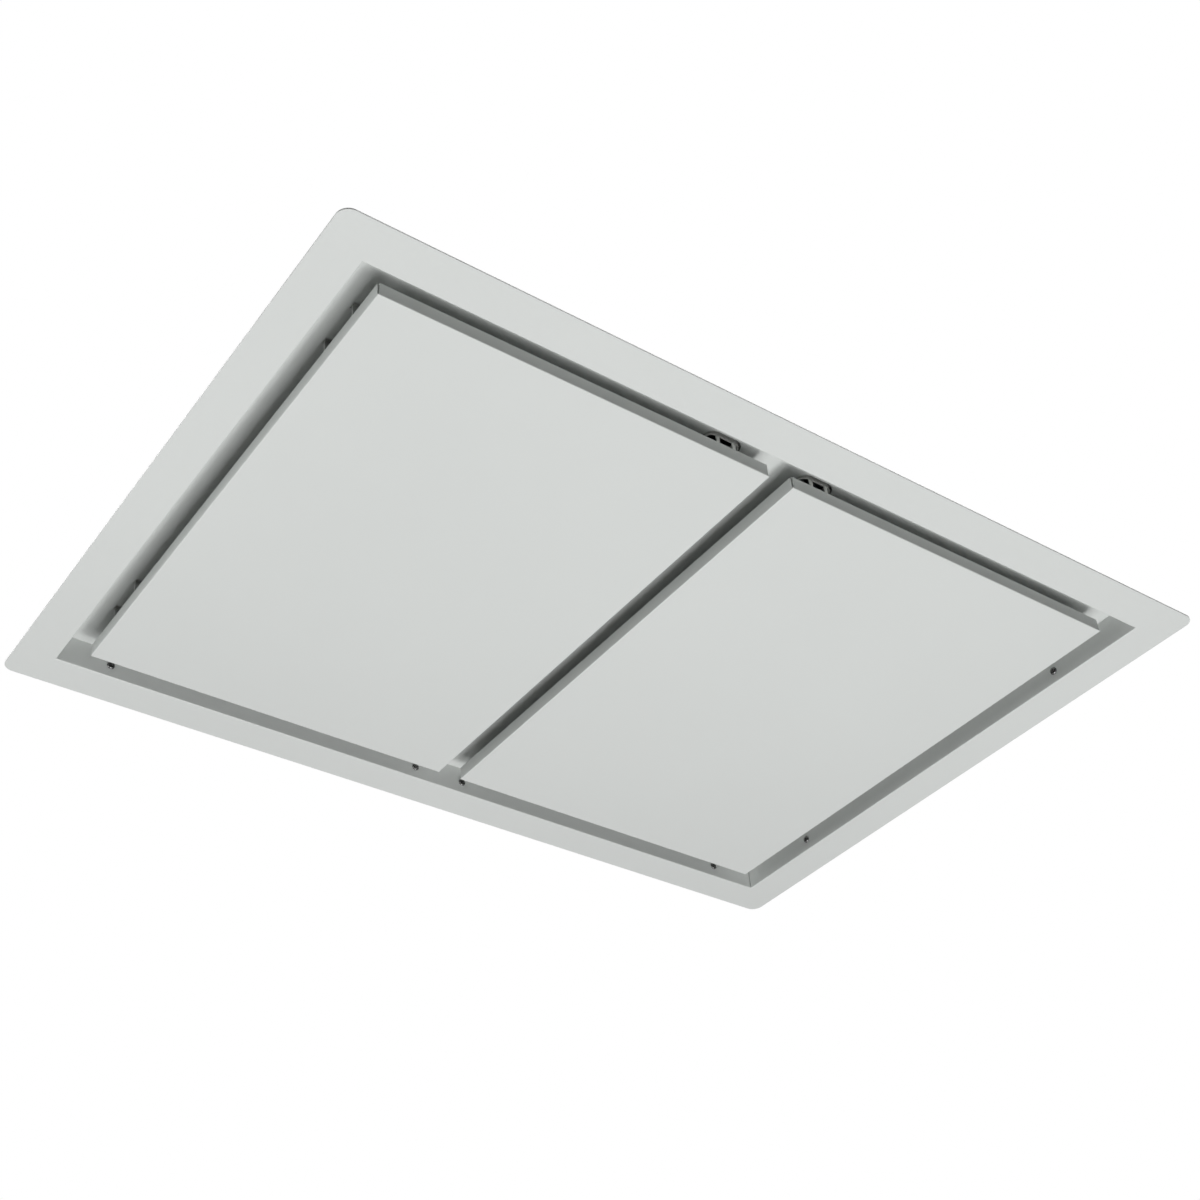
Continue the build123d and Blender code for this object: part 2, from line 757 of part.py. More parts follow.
def filter_latch():
    """Slide bolt with a finger tab that hangs just below the filter."""
    pocket, _, _ = latch_pocket()
    z = latch_bolt_z()
    body_half = latch_boss_width / 2 - latch_pocket_wall - latch_side_gap
    back = pocket[0] + latch_side_gap
    bolt_half = latch_bolt_width / 2
    latch = block((back, back + latch_body_length), (-body_half, body_half), z)
    bolt = block((filter_inner - latch_reach, back), (-bolt_half, bolt_half), z)
    nose = bolt.edges().filter_by(Axis.Y).sort_by(Axis.X)[:2].sort_by(Axis.Z)[-1]
    latch += chamfer(nose, latch_nose)
    tab_x = pocket[0] + latch_tab_inset
    tab = block(
        (tab_x, tab_x + latch_tab_sheet),
        (-latch_tab_width / 2, latch_tab_width / 2),
        (recess_height - latch_tab_drop, z[0]),
    )
    tips = tab.edges().filter_by(Axis.X).group_by(Axis.Z)[0]
    return [latch + fillet(tips, latch_tab_round)]


def latch_spring():
    """Bowed leaf spring between the latch and the back of its pocket."""
    pocket, _, _ = latch_pocket()
    front = pocket[0] + latch_side_gap + latch_body_length
    back = pocket[1]
    half = latch_spring_span / 2
    flat = half / 3
    sheet = latch_spring_sheet
    bow = Polyline(
        (back, -half),
        (front, -flat),
        (front, flat),
        (back, half),
        (back, half - 2 * sheet),
        (front + sheet, flat - sheet / 2),
        (front + sheet, sheet / 2 - flat),
        (back, 2 * sheet - half),
        close=True,
    )
    return [extrude(Pos(0, 0, latch_bolt_z()[0]) * make_face(bow), latch_spring_height)]


def bead():
    """A pressed bead: a long hexagon along Y with sloping sides."""
    half_length = deck_depth / 2 - bead_end_inset
    half_width = bead_width / 2
    shoulder = half_length - half_width
    outline = Polyline(
        (half_width, -shoulder),
        (half_width, shoulder),
        (0, half_length),
        (-half_width, shoulder),
        (-half_width, -shoulder),
        (0, -half_length),
        close=True,
    )
    return extrude(make_face(outline), bead_height, taper=bead_taper)


def plenum_hood():
    """Skirts and slopes of the plenum in one piece, before its corners are parted."""

    def solid(length, depth, low, shoulder):
        outline = Pos(0, 0, shoulder) * Rectangle(length, depth)
        slope = extrude(outline, casing_height - shoulder, taper=casing_slope)
        return slope + centred(length, depth, (low, shoulder))

    fold_drop = casing_sheet * tan(radians(casing_slope / 2))
    hood = solid(casing_length, casing_depth, casing_lift, casing_shoulder)
    return hood - solid(
        casing_inner_length, casing_inner_depth, casing_lift - through, casing_shoulder - fold_drop
    )


def plenum_end():
    """Plan of the wedge that holds the right short side, its corners mitred."""
    start = (casing_length - casing_depth) / 2
    reach = casing_length / 2 + through
    side = reach - start
    wedge = Polyline((start, 0), (reach, side), (reach, -side), close=True)
    return extrude(make_face(wedge), casing_height + through)


def plenum_short_sides():
    hood = plenum_hood() & centred(casing_length, casing_depth, (0, casing_height - casing_sheet))
    end = (hood & plenum_end()) - frame_screw_holes()
    return [end, mirror(end, about=Plane.YZ)]


def plenum_long_sides():
    hood = plenum_hood() & centred(casing_length, casing_depth, (0, casing_height - casing_sheet))
    hood -= plenum_end()
    hood -= mirror(plenum_end(), about=Plane.YZ)
    return [hood - frame_screw_holes()]


def plenum_deck():
    """Flat top of the plenum with pressed beads and the fan's opening."""
    low = casing_height - casing_sheet
    edge = casing_sheet * tan(radians(casing_slope))
    outline = Rectangle(deck_length + 2 * edge, deck_depth + 2 * edge)
    deck = extrude(Pos(0, 0, low) * outline, casing_sheet, taper=casing_slope)
    outer_bead = deck_length / 2 - bead_side_inset
    for sx in (-1, 1):
        for i in range(bead_count):
            x = sx * (outer_bead - i * bead_pitch)
            deck += Pos(x, 0, casing_height) * bead()
            deck -= Pos(x, 0, low) * bead()
    mouth = throat_radius + bell_rise
    y = box_y + fan_y
    deck -= bar(mouth, (fan_x, y, low - through), (fan_x, y, casing_height + through), round_sides)
    for x, y in hanger_feet():
        deck -= bar(hanger_bolt_radius + hole_slack, (x, y, low - through), (x, y, casing_height + through))
    return [deck]


def motor_box():
    """Four walls of the upper box with an outward foot flange."""
    walls = centred(box_length, box_depth, (casing_height, box_top))
    walls += centred(
        box_length + 2 * box_flange,
        box_depth + 2 * box_flange,
        (casing_height, casing_height + casing_sheet),
    )
    inside = (casing_height - through, box_top + through)
    walls -= centred(box_length - 2 * casing_sheet, box_depth - 2 * casing_sheet, inside)
    y = box_depth / 2
    walls -= rod(spigot_bore, (spigot_x, y - through, spigot_z), (spigot_x, y + through, spigot_z))
    walls -= wire_hole()
    return [walls - lid_screw_holes()]


def wire_hole():
    """Cut through the motor box's wall and the control box's back."""
    x = box_length / 2
    ends = ((x - through, 0, control_middle_z), (x + through, 0, control_middle_z))
    return bar(wire_hole_radius, *ends, turned_sides)


def lid_screw_seats():
    """Point on the lid's lip and outward direction of each lid screw."""
    x = box_length / 2 + lid_slack + casing_sheet
    z = box_top - lid_lip / 2
    half = lid_screw_spacing / 2
    return [((side * x, along, z), side) for side in (-1, 1) for along in (-half, half)]


def lid_screw_holes():
    holes = []
    for (x, y, z), side in lid_screw_seats():
        start = (x - side * lid_screw_length, y, z)
        holes.append(bar(lid_screw_radius + hole_slack, start, (x + side * through, y, z)))
    return holes


def motor_box_lid():
    """Lid with a lip round the box's walls and a raised middle panel."""
    grow = 2 * (lid_slack + casing_sheet)
    low = box_top - lid_lip
    lid = centred(box_length + grow, box_depth + grow, (low, box_top + casing_sheet))
    lid -= centred(box_length + 2 * lid_slack, box_depth + 2 * lid_slack, (low - through, box_top))
    outline = Rectangle(box_length - 2 * lid_panel_margin, box_depth - 2 * lid_panel_margin)
    raised = extrude(outline, lid_panel_height, taper=lid_panel_taper)
    lid += Pos(0, 0, box_top + casing_sheet) * raised
    lid -= Pos(0, 0, box_top) * raised
    return [lid - lid_screw_holes()]


def lid_screws():
    screw = hex_screw(lid_screw_head, lid_screw_head_height, lid_screw_radius, lid_screw_length)
    return [Plane(seat, z_dir=(side, 0, 0)) * screw for seat, side in lid_screw_seats()]


def scroll_outline():
    """Inside of the scroll in plan: quarter arcs about the corners of a small square,
    then a straight outlet. The wheel's axis is the origin."""
    g = scroll_growth
    first = scroll_first_radius
    lead = first - 2 * g  # radius of the arc that runs up to the tongue
    lead_angle = degrees(acos((tongue_side + g) / lead))
    tongue_y = g + lead * sin(radians(lead_angle))
    path = [
        Line((scroll_side, scroll_outlet), (scroll_side, g)),
        CenterArc((g, g), first + 4 * g, 0, -90),
        CenterArc((g, -g), first + 2 * g, 270, -90),
        CenterArc((-g, -g), first, 180, -90),
        CenterArc((-g, g), lead, 90, lead_angle - 90),
        Line((tongue_side, tongue_y), (tongue_side, scroll_outlet)),
        Line((tongue_side, scroll_outlet), (scroll_side, scroll_outlet)),
    ]
    region = make_face(path)
    tongue = region.vertices().sort_by_distance((tongue_side, tongue_y))[0]
    return fillet(tongue, tongue_radius)


def scroll_plan(grow=0.0):
    """The scroll's outline grown by a wall, ending flush at the outlet."""
    region = scroll_outline()
    if grow:
        region = offset(region, grow, kind=Kind.INTERSECTION)
        beyond = Pos(0, scroll_outlet + scroll_side) * Rectangle(4 * scroll_side, 2 * scroll_side)
        region = region - beyond
    return Pos(fan_x, fan_y) * region


def scroll_housing():
    """Spiral wall on its floor, with the eye cut round the inlet ring's throat."""
    floor = scroll_floor - scroll_sheet
    housing = extrude(Pos(0, 0, floor) * scroll_plan(scroll_sheet), scroll_inner_height + scroll_sheet)
    housing -= extrude(Pos(0, 0, scroll_floor) * scroll_plan(), scroll_inner_height + through)
    eye = throat_radius + bell_wall + hole_slack
    ends = ((fan_x, fan_y, floor - through), (fan_x, fan_y, scroll_floor + through))
    housing -= bar(eye, *ends, round_sides)
    y = fan_y + scroll_outlet
    mouth = (fan_x + tongue_side, fan_x + scroll_side)
    return [housing - block(mouth, (y - through, y + through), (scroll_floor, scroll_roof + through))]


def scroll_cover():
    cover = extrude(Pos(0, 0, scroll_roof) * scroll_plan(scroll_sheet), scroll_sheet)
    ends = ((fan_x, fan_y, scroll_roof - through), (fan_x, fan_y, cover_top + through))
    return [cover - bar(motor_radius + motor_slack, *ends, round_sides)]


def scroll_posts():
    """Spacers that carry the scroll on the deck."""
    g = scroll_growth
    seats = (
        (post_inset - scroll_left, -g),
        (g, post_inset - scroll_near),
        (scroll_side - post_inset, g),
        (tongue_side + post_inset, scroll_outlet - post_outlet_inset),
    )
    post = turned([(post_radius, post_radius, casing_height, scroll_floor - scroll_sheet)])
    return [Pos(fan_x + x, fan_y + y, 0) * post for x, y in seats]


def inlet_ring():
    """Flared ring from the deck's opening into the wheel."""
    low = casing_height
    bend = low + bell_rise
    top = wheel_bottom + bell_overlap
    mouth = throat_radius + bell_rise

    def flare(wall, margin):
        slices = [
            (mouth + wall, throat_radius + wall, low, bend),
            (throat_radius + wall, throat_radius + wall, bend, top + margin),
        ]
        return turned(slices, round_sides)

    ring = flare(bell_wall, 0)
    ring += bar(mouth + bell_flange, (0, 0, low), (0, 0, low + bell_sheet), round_sides)
    return [Pos(fan_x, fan_y, 0) * (ring - flare(0, through))]


def blade_section():
    """One forward-curved blade in plan: flats that leave the inner edge radially and
    lean further over towards the rim."""
    line = []
    for i in range(blade_flats + 1):
        turn = radians(90 * i / blade_flats)
        radius = wheel_inner_radius + (wheel_radius - wheel_inner_radius) * sin(turn)
        line.append((radius, blade_sweep * (1 - cos(turn))))
    front = [(x, y + blade_sheet / 2) for x, y in line]
    back = [(x, y - blade_sheet / 2) for x, y in reversed(line)]
    return make_face(Polyline(*front, *back, close=True))


def impeller():
    """Forward-curved wheel: blades between an open ring and a dished back plate."""
    floor, top = hub_floor, wheel_top
    outer = wheel_radius + wheel_ring_margin
    inner = wheel_inner_radius - wheel_ring_margin
    hub_low = floor - hub_length + wheel_sheet
    under = (hub_floor_radius + wheel_sheet, inner, floor, top - wheel_sheet)
    rim = (outer, outer, top - wheel_sheet, top)
    wheel = turned([under, rim], round_sides)
    wheel -= turned([(hub_floor_radius, inner, floor + wheel_sheet, top)], round_sides)
    wheel += bar(hub_radius, (0, 0, hub_low), (0, 0, floor), turned_sides)
    wheel -= rod(shaft_radius, (0, 0, hub_low - through), (0, 0, floor + through))
    ring = bar(outer, (0, 0, wheel_bottom), (0, 0, wheel_bottom + wheel_sheet), round_sides)
    ring -= bar(inner, (0, 0, wheel_bottom - through), (0, 0, wheel_bottom + through), round_sides)
    blade = extrude(Pos(0, 0, wheel_bottom + wheel_sheet / 2) * blade_section(), wheel_height - wheel_sheet)
    blades = [Rot(0, 0, i * 360 / blade_count) * blade for i in range(blade_count)]
    return [Pos(fan_x, fan_y, 0) * (wheel + ring + blades)]


def motor_shaft():
    low = hub_floor - hub_length + wheel_sheet - shaft_below_hub
    return [rod(shaft_radius, (fan_x, fan_y, low), (fan_x, fan_y, motor_bottom + motor_shaft_inside))]


def impeller_nut():
    top = hub_floor - hub_length + wheel_sheet
    nut = extrude(RegularPolygon(nut_flats / 2, 6, major_radius=False) - Circle(shaft_radius), nut_height)
    return [Pos(fan_x, fan_y, top - nut_height) * nut]


def motor():
    """Round motor with a slotted top and three mounting ears."""
    top = motor_bottom + motor_height
    can = bar(motor_radius, (0, 0, motor_bottom), (0, 0, top), round_sides)
    rims = can.edges().group_by(Axis.Z)
    can = chamfer(rims[0] + rims[-1], motor_bevel)
    reach = motor_radius + motor_ear_reach
    arm = Pos(reach / 2, 0) * Rectangle(reach, 2 * motor_ear_radius)
    arm += Pos(reach, 0) * Rot(0, 0, 180 / shank_sides) * RegularPolygon(
        motor_ear_radius, shank_sides, major_radius=False
    )
    arm -= Pos(reach, 0) * RegularPolygon(motor_bolt_radius, shank_sides)
    ear = extrude(Pos(0, 0, ear_bottom) * arm, motor_ear_sheet)
    can += [Rot(0, 0, angle) * ear for angle in motor_ear_angles()]
    bore = shaft_radius + shaft_running_fit
    bore_top = motor_bottom + motor_shaft_inside + motor_bore_end_gap
    can -= rod(bore, (0, 0, motor_bottom - through), (0, 0, bore_top))
    slot = block(
        (motor_slot_start, motor_slot_end),
        (-motor_slot_width / 2, motor_slot_width / 2),
        (top - motor_slot_depth, top + through),
    )
    can -= [Rot(0, 0, i * 360 / motor_slot_count) * slot for i in range(motor_slot_count)]
    return [Pos(fan_x, fan_y, 0) * can]


def motor_ear_angles():
    return [motor_ear_turn + i * 360 / motor_ear_count for i in range(motor_ear_count)]


def at_motor_ears(shape):
    """Copies of a shape, turned with the motor's ears about the fan's axis."""
    axis = Pos(fan_x, fan_y, 0)
    reach = Pos(motor_radius + motor_ear_reach, 0, 0)
    return [axis * Rot(0, 0, angle) * reach * shape for angle in motor_ear_angles()]


def motor_grommets():
    grommet = turned([(grommet_radius, grommet_radius, cover_top, ear_bottom)])
    ends = ((0, 0, cover_top - through), (0, 0, ear_bottom + through))
    return at_motor_ears(grommet - bar(motor_bolt_radius, *ends))


def motor_bolts():
    top = ear_bottom + motor_ear_sheet
    bolt = hex_screw(motor_bolt_head, motor_bolt_head_height, motor_bolt_radius, top - cover_top)
    return at_motor_ears(Pos(0, 0, top) * bolt)


def outlet_spigot():
    """Round collar with a wall flange, two stops and sockets for the flaps' pin."""
    back = box_depth / 2
    end = back + spigot_length
    half = Polyline(
        (spigot_bore, back),
        (spigot_flange_radius, back),
        (spigot_flange_radius, back + spigot_flange_sheet),
        (spigot_radius, back + spigot_flange_sheet),
        (spigot_radius, end - spigot_bevel),
        (spigot_radius - spigot_bevel_depth, end),
        (spigot_bore, end),
        close=True,
    )
    collar = Pos(spigot_x, 0, spigot_z) * revolve(make_face(half), Axis.Y)
    stop_low = back + stop_y
    stop_root = spigot_bore + spigot_wall / 2
    for side in (-1, 1):
        x = sorted((spigot_x + side * (spigot_bore - stop_reach), spigot_x + side * stop_root))
        z = (spigot_z - stop_height / 2, spigot_z + stop_height / 2)
        collar += block(x, (stop_low, stop_low + stop_sheet), z)
    return [collar - damper_pin()]


def damper_pin():
    reach = spigot_bore + flap_pin_socket
    ends = ((spigot_x, flap_y, spigot_z - reach), (spigot_x, flap_y, spigot_z + reach))
    return [rod(flap_pin_radius, *ends)]


def damper_flap(side):
    """Half-round flap whose knuckle takes one half of the shared upright pin."""
    radius = spigot_bore - flap_slack
    edge = flap_knuckle_radius + flap_edge_gap
    disc = Circle(radius) & Pos(edge + radius, 0) * Rectangle(2 * radius, 2 * radius)
    flap = extrude(Plane((0, flap_sheet / 2, 0), x_dir=(1, 0, 0), z_dir=(0, -1, 0)) * disc, flap_sheet)
    ends = sorted((side * flap_knuckle_gap, side * (flap_knuckle_gap + flap_knuckle_length)))
    flap += rod(flap_knuckle_radius, (0, 0, ends[0]), (0, 0, ends[1]))
    flap += block((0, edge + flap_edge_gap), (-flap_sheet / 2, flap_sheet / 2), ends)
    bore = flap_pin_radius + flap_running_fit
    flap -= rod(bore, (0, 0, -radius), (0, 0, radius))
    return [Pos(spigot_x, flap_y, spigot_z) * on_side([flap], side)[0]]


def control_box():
    """Tray on the motor box's wall, open outwards, with posts for the board."""
    x = (control_back, control_back + control_depth)
    half = control_length / 2
    z = (control_bottom, control_bottom + control_height)
    tray = block(x, (-half, half), z)
    inner = x[0] + control_sheet
    tray -= block(
        (inner, x[1] + through),
        (control_sheet - half, half - control_sheet),
        (z[0] + control_sheet, z[1] - control_sheet),
    )
    for y, post_z in board_post_seats():
        w = board_post_width / 2
        tray += block((inner, inner + board_gap), (y - w, y + w), (post_z - w, post_z + w))
    gland_x_at, gland_z_at = gland_centre()
    ends = ((gland_x_at, -half - through, gland_z_at), (gland_x_at, -half + through, gland_z_at))
    tray -= bar(gland_thread_radius + hole_slack, *ends, turned_sides)
    return [tray - wire_hole()]


def board_post_seats():
    dy = board_length / 2 - board_post_inset
    dz = board_height / 2 - board_post_inset
    return [(sy * dy, control_middle_z + sz * dz) for sy in (-1, 1) for sz in (-1, 1)]


def board_face():
    """x of the board's outer face."""
    return control_back + control_sheet + board_gap + board_sheet


def circuit_board():
    x = board_face()
    half_y, half_z = board_length / 2, board_height / 2
    z = (control_middle_z - half_z, control_middle_z + half_z)
    return [block((x - board_sheet, x), (-half_y, half_y), z)]


def terminal_block():
    """Row of clamps at the gland's end of the board, each with a screw well and a wire mouth."""
    x = board_face()
    start = board_part_inset - board_length / 2
    z = control_middle_z - board_height / 2 + board_part_rise
    face = x + terminal_depth
    body = block((x, face), (start, start + terminal_length), (z, z + terminal_height))
    pitch = terminal_length / terminal_ways
    well_z = (z + terminal_well_z - terminal_well / 2, z + terminal_well_z + terminal_well / 2)
    for i in range(terminal_ways):
        middle = start + (i + 0.5) * pitch
        well_y = (middle - terminal_well / 2, middle + terminal_well / 2)
        body -= block((face - terminal_well_depth, face + through), well_y, well_z)
        mouth_y = (middle - terminal_mouth / 2, middle + terminal_mouth / 2)
        mouth_x = (x + terminal_mouth_gap, x + terminal_mouth_gap + terminal_mouth)
        body -= block(mouth_x, mouth_y, (z - through, z + terminal_mouth_height))
    return [body]


def capacitor():
    x = board_face()
    y = board_length / 2 - board_part_inset
    z = control_middle_z + board_height / 2 - board_part_rise
    return [block((x, x + capacitor_depth), (y - capacitor_length, y), (z - capacitor_width, z))]


def control_box_cover():
    """Cover with a lip round the tray."""
    grow = control_slack + control_sheet
    half = control_length / 2 + grow
    x = control_back + control_depth
    z = (control_bottom - grow, control_bottom + control_height + grow)
    cover = block((x - control_lip, x + control_sheet), (-half, half), z)
    cover = chamfer(cover.edges().group_by(Axis.X)[-1], control_sheet / 2)
    inner = half - control_sheet
    inner_z = (z[0] + control_sheet, z[1] - control_sheet)
    return [cover - block((x - control_lip - through, x), (-inner, inner), inner_z)]


def gland_centre():
    """x and z of the cable gland on the control box's near wall."""
    return control_back + gland_x, control_bottom + gland_z


def cable_gland():
    """Compression gland: threaded tail, hex body and tapered nut, bored for the cable."""
    x, z = gland_centre()
    wall = -control_length / 2
    outline = RegularPolygon(gland_flats / 2, 6, major_radius=False)
    nut = extrude(outline, gland_nut_length, taper=gland_nut_taper)
    body = extrude(outline, gland_hex_length) + Pos(0, 0, gland_hex_length) * nut
    gland = Plane((x, wall, z), x_dir=(1, 0, 0), z_dir=(0, -1, 0)) * body
    tail = (x, wall + gland_tail_length, z)
    gland += bar(gland_thread_radius, (x, wall, z), tail, turned_sides)
    mouth = (x, wall - gland_hex_length - gland_nut_length, z)
    return [gland - rod(gland_bore_radius, mouth, tail)]


def hanger_feet():
    """Bolt position of each hanging bracket on the deck."""
    x = hanger_spacing_x / 2 + hanger_arm / 2 + hanger_foot / 2
    y = hanger_spacing_y / 2
    return [(sx * x, sy * y) for sx in (-1, 1) for sy in (-1, 1)]


def hanging_brackets():
    """Z-shaped straps: foot on the deck, riser, and an arm with the rod's hole."""
    rod_x = hanger_spacing_x / 2
    riser = rod_x + hanger_arm / 2
    low = casing_height
    high = casing_height + hanger_height
    half = hanger_width / 2
    strap = block((riser, riser + hanger_foot), (-half, half), (low, low + hanger_sheet))
    strap += block((riser, riser + hanger_sheet), (-half, half), (low, high))
    arm_x = (rod_x - hanger_arm / 2, riser + hanger_sheet)
    strap += block(arm_x, (-half, half), (high - hanger_sheet, high))
    ends = strap.edges().filter_by(Axis.Z).group_by(Axis.X)
    strap = chamfer(ends[0] + ends[-1], hanger_corner)
    strap -= rod(hanger_rod_hole_radius, (rod_x, 0, high - through), (rod_x, 0, high + through))
    foot_x = riser + hanger_foot / 2
    strap -= bar(hanger_bolt_radius + hole_slack, (foot_x, 0, low - through), (foot_x, 0, low + through))
    placed = []
    for sx in (-1, 1):
        for sy in (-1, 1):
            placed += [Pos(0, sy * hanger_spacing_y / 2, 0) * s for s in on_side([strap], sx)]
    return placed


def hanger_bolts():
    top = casing_height + hanger_sheet
    length = hanger_sheet + hanger_bolt_length
    bolt = hex_screw(hanger_bolt_flats / 2, hanger_bolt_head_height, hanger_bolt_radius, length)
    return [Pos(x, y, top) * bolt for x, y in hanger_feet()]


os.makedirs("parts", exist_ok=True)

save("rim_frame", [rim_frame()])
save("frame_screws", frame_screws())
save("intake_plate", intake_plate())
save("plenum_long_sides", plenum_long_sides())
save("plenum_short_sides", plenum_short_sides())
save("plenum_deck", plenum_deck())
save("motor_box", at_box(motor_box()))
save("motor_box_lid", at_box(motor_box_lid()))
save("lid_screws", at_box(lid_screws()))
save("panel_buffers", panel_buffers())

for side_name, side in (("left", -1), ("right", 1)):
    save(f"{side_name}_panel", on_side(panel(), side))
    save(f"{side_name}_panel_channels", on_side(panel_channels(), side))
    save(f"{side_name}_hinge_leaves", on_side(hinge_leaves(), side))
    save(f"{side_name}_hinge_brackets", on_side(hinge_brackets(), side))
    save(f"{side_name}_hinge_pins", on_side(hinge_pins(), side))
    save(f"{side_name}_catch_studs", catch_studs(side))
    save(f"{side_name}_catch_clips", catch_clips(side))
    save(f"{side_name}_filter_frame", on_side(filter_frame(), side))
    save(f"{side_name}_filter_mesh", on_side(filter_mesh(), side))
    save(f"{side_name}_filter_latch", on_side(filter_latch(), side))
    save(f"{side_name}_latch_spring", on_side(latch_spring(), side))
    save(f"{side_name}_damper_flap", at_box(damper_flap(side)))

save("inlet_ring", at_box(inlet_ring()))
save("scroll_housing", at_box(scroll_housing()))
save("scroll_cover", at_box(scroll_cover()))
save("scroll_posts", at_box(scroll_posts()))
save("impeller", at_box(impeller()))
save("motor_shaft", at_box(motor_shaft()))
save("impeller_nut", at_box(impeller_nut()))
save("motor", at_box(motor()))
save("motor_grommets", at_box(motor_grommets()))
save("motor_bolts", at_box(motor_bolts()))
save("outlet_spigot", at_box(outlet_spigot()))
save("damper_pin", at_box(damper_pin()))
save("control_box", at_box(control_box()))
save("control_box_cover", at_box(control_box_cover()))
save("circuit_board", at_box(circuit_board()))
save("terminal_block", at_box(terminal_block()))
save("capacitor", at_box(capacitor()))
save("cable_gland", at_box(cable_gland()))
save("hanging_brackets", hanging_brackets())
save("hanger_bolts", hanger_bolts())
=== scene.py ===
import json
import math

import bmesh
import bpy
from mathutils import Matrix, Vector


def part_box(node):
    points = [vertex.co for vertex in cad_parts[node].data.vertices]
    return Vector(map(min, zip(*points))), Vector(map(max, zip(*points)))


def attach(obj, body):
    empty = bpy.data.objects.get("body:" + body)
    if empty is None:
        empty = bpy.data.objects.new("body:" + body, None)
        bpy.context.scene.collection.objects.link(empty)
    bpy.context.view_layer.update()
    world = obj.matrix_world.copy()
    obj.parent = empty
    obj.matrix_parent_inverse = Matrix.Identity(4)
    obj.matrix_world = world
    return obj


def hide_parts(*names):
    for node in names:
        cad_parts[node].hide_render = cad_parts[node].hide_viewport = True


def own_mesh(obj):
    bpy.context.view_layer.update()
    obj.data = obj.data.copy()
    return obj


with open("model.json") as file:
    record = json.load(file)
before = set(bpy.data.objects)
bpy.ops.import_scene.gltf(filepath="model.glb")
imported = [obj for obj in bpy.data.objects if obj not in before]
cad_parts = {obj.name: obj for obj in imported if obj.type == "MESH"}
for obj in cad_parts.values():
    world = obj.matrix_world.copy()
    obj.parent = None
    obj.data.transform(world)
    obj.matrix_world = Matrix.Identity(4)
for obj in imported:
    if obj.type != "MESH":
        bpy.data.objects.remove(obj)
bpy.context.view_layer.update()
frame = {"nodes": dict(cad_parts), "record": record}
nodes = frame["nodes"]
scene = bpy.context.scene
white = (1.0, 1.0, 1.0, 1.0)
print("frame loaded, nodes:", len(nodes))

# The camera hangs below the hood, to its front left, and looks up at it.
view = {
    "place": (-0.8975, -1.1069, -1.0761),
    "ahead": (0.4371, 0.6133, 0.6579),
    "right": (0.8306, -0.5558, -0.0337),
    "lens": 52.27,  # mm, as the sensor
    "sensor": 36.0,
    "centre": (507.22, 524.89),  # where the lens points, in pixels of the picture
    "picture": 1200.0,
    "nearest": 0.05,
    "farthest": 60.0,
}
cameraData = bpy.data.cameras.new("viewCamera")
camera = bpy.data.objects.new("viewCamera", cameraData)
scene.collection.objects.link(camera)
cameraData.sensor_width = view["sensor"]
cameraData.lens = view["lens"]
cameraData.shift_x = 0.5 - view["centre"][0] / view["picture"]
cameraData.shift_y = view["centre"][1] / view["picture"] - 0.5
cameraData.clip_start = view["nearest"]
cameraData.clip_end = view["farthest"]
ahead = Vector(view["ahead"]).normalized()
across = Vector(view["right"])
across = (across - ahead * across.dot(ahead)).normalized()
above = across.cross(ahead)
facing = Matrix((across, above, -ahead)).transposed().to_4x4()
camera.matrix_world = Matrix.Translation(Vector(view["place"])) @ facing
scene.camera = camera
scene.view_settings.view_transform = "Standard"
print("camera set")


# Node groups give colours, values and heights, and the materials further down feed a shader.
def newGroup(name, entries, results):
    group = bpy.data.node_groups.new(name, "ShaderNodeTree")
    for label, kind, value in entries:
        entry = group.interface.new_socket(name=label, in_out="INPUT", socket_type=kind)
        entry.default_value = value
    for label, kind in results:
        group.interface.new_socket(name=label, in_out="OUTPUT", socket_type=kind)
    start = group.nodes.new("NodeGroupInput")
    end = group.nodes.new("NodeGroupOutput")
    return group, start, end


def addCoords(tree):
    coords = tree.nodes.new("ShaderNodeTexCoord")
    return coords.outputs["Object"]


def addNoise(tree, coords, scale, detail, stretch=None):
    source = coords
    if stretch is not None:
        mapping = tree.nodes.new("ShaderNodeMapping")
        mapping.inputs["Scale"].default_value = stretch
        tree.links.new(coords, mapping.inputs["Vector"])
        source = mapping.outputs["Vector"]
    noise = tree.nodes.new("ShaderNodeTexNoise")
    noise.inputs["Scale"].default_value = scale
    noise.inputs["Detail"].default_value = detail
    tree.links.new(source, noise.inputs["Vector"])
    return noise.outputs["Fac"]


# Noise keeps mostly between a quarter and three quarters, so that is the range that is spread.
def addSpread(tree, value, low, high, lowest=0.25, highest=0.75):
    spread = tree.nodes.new("ShaderNodeMapRange")
    spread.inputs["From Min"].default_value = lowest
    spread.inputs["From Max"].default_value = highest
    spread.inputs["To Min"].default_value = low
    spread.inputs["To Max"].default_value = high
    tree.links.new(value, spread.inputs["Value"])
    return spread.outputs["Result"]


def addMath(tree, operation, first, second):
    step = tree.nodes.new("ShaderNodeMath")
    step.operation = operation
    for socket, value in zip(step.inputs, (first, second)):
        if isinstance(value, (int, float)):
            socket.default_value = value
        else:
            tree.links.new(value, socket)
    return step.outputs["Value"]


def addVectorMath(tree, operation, first):
    step = tree.nodes.new("ShaderNodeVectorMath")
    step.operation = operation
    tree.links.new(first, step.inputs[0])
    return step


def addShade(tree, colour, factor):
    shade = addVectorMath(tree, "SCALE", colour)
    tree.links.new(factor, shade.inputs["Scale"])
    return shade.outputs["Vector"]


edges = {
    "radius": 0.0006,  # the group's own, before a skin or a material gives another
    "samples": 6,
    "flat": 1.0,  # the two normals' dot product on a flat face, and where a corner counts as full
    "sharp": 0.75,
}


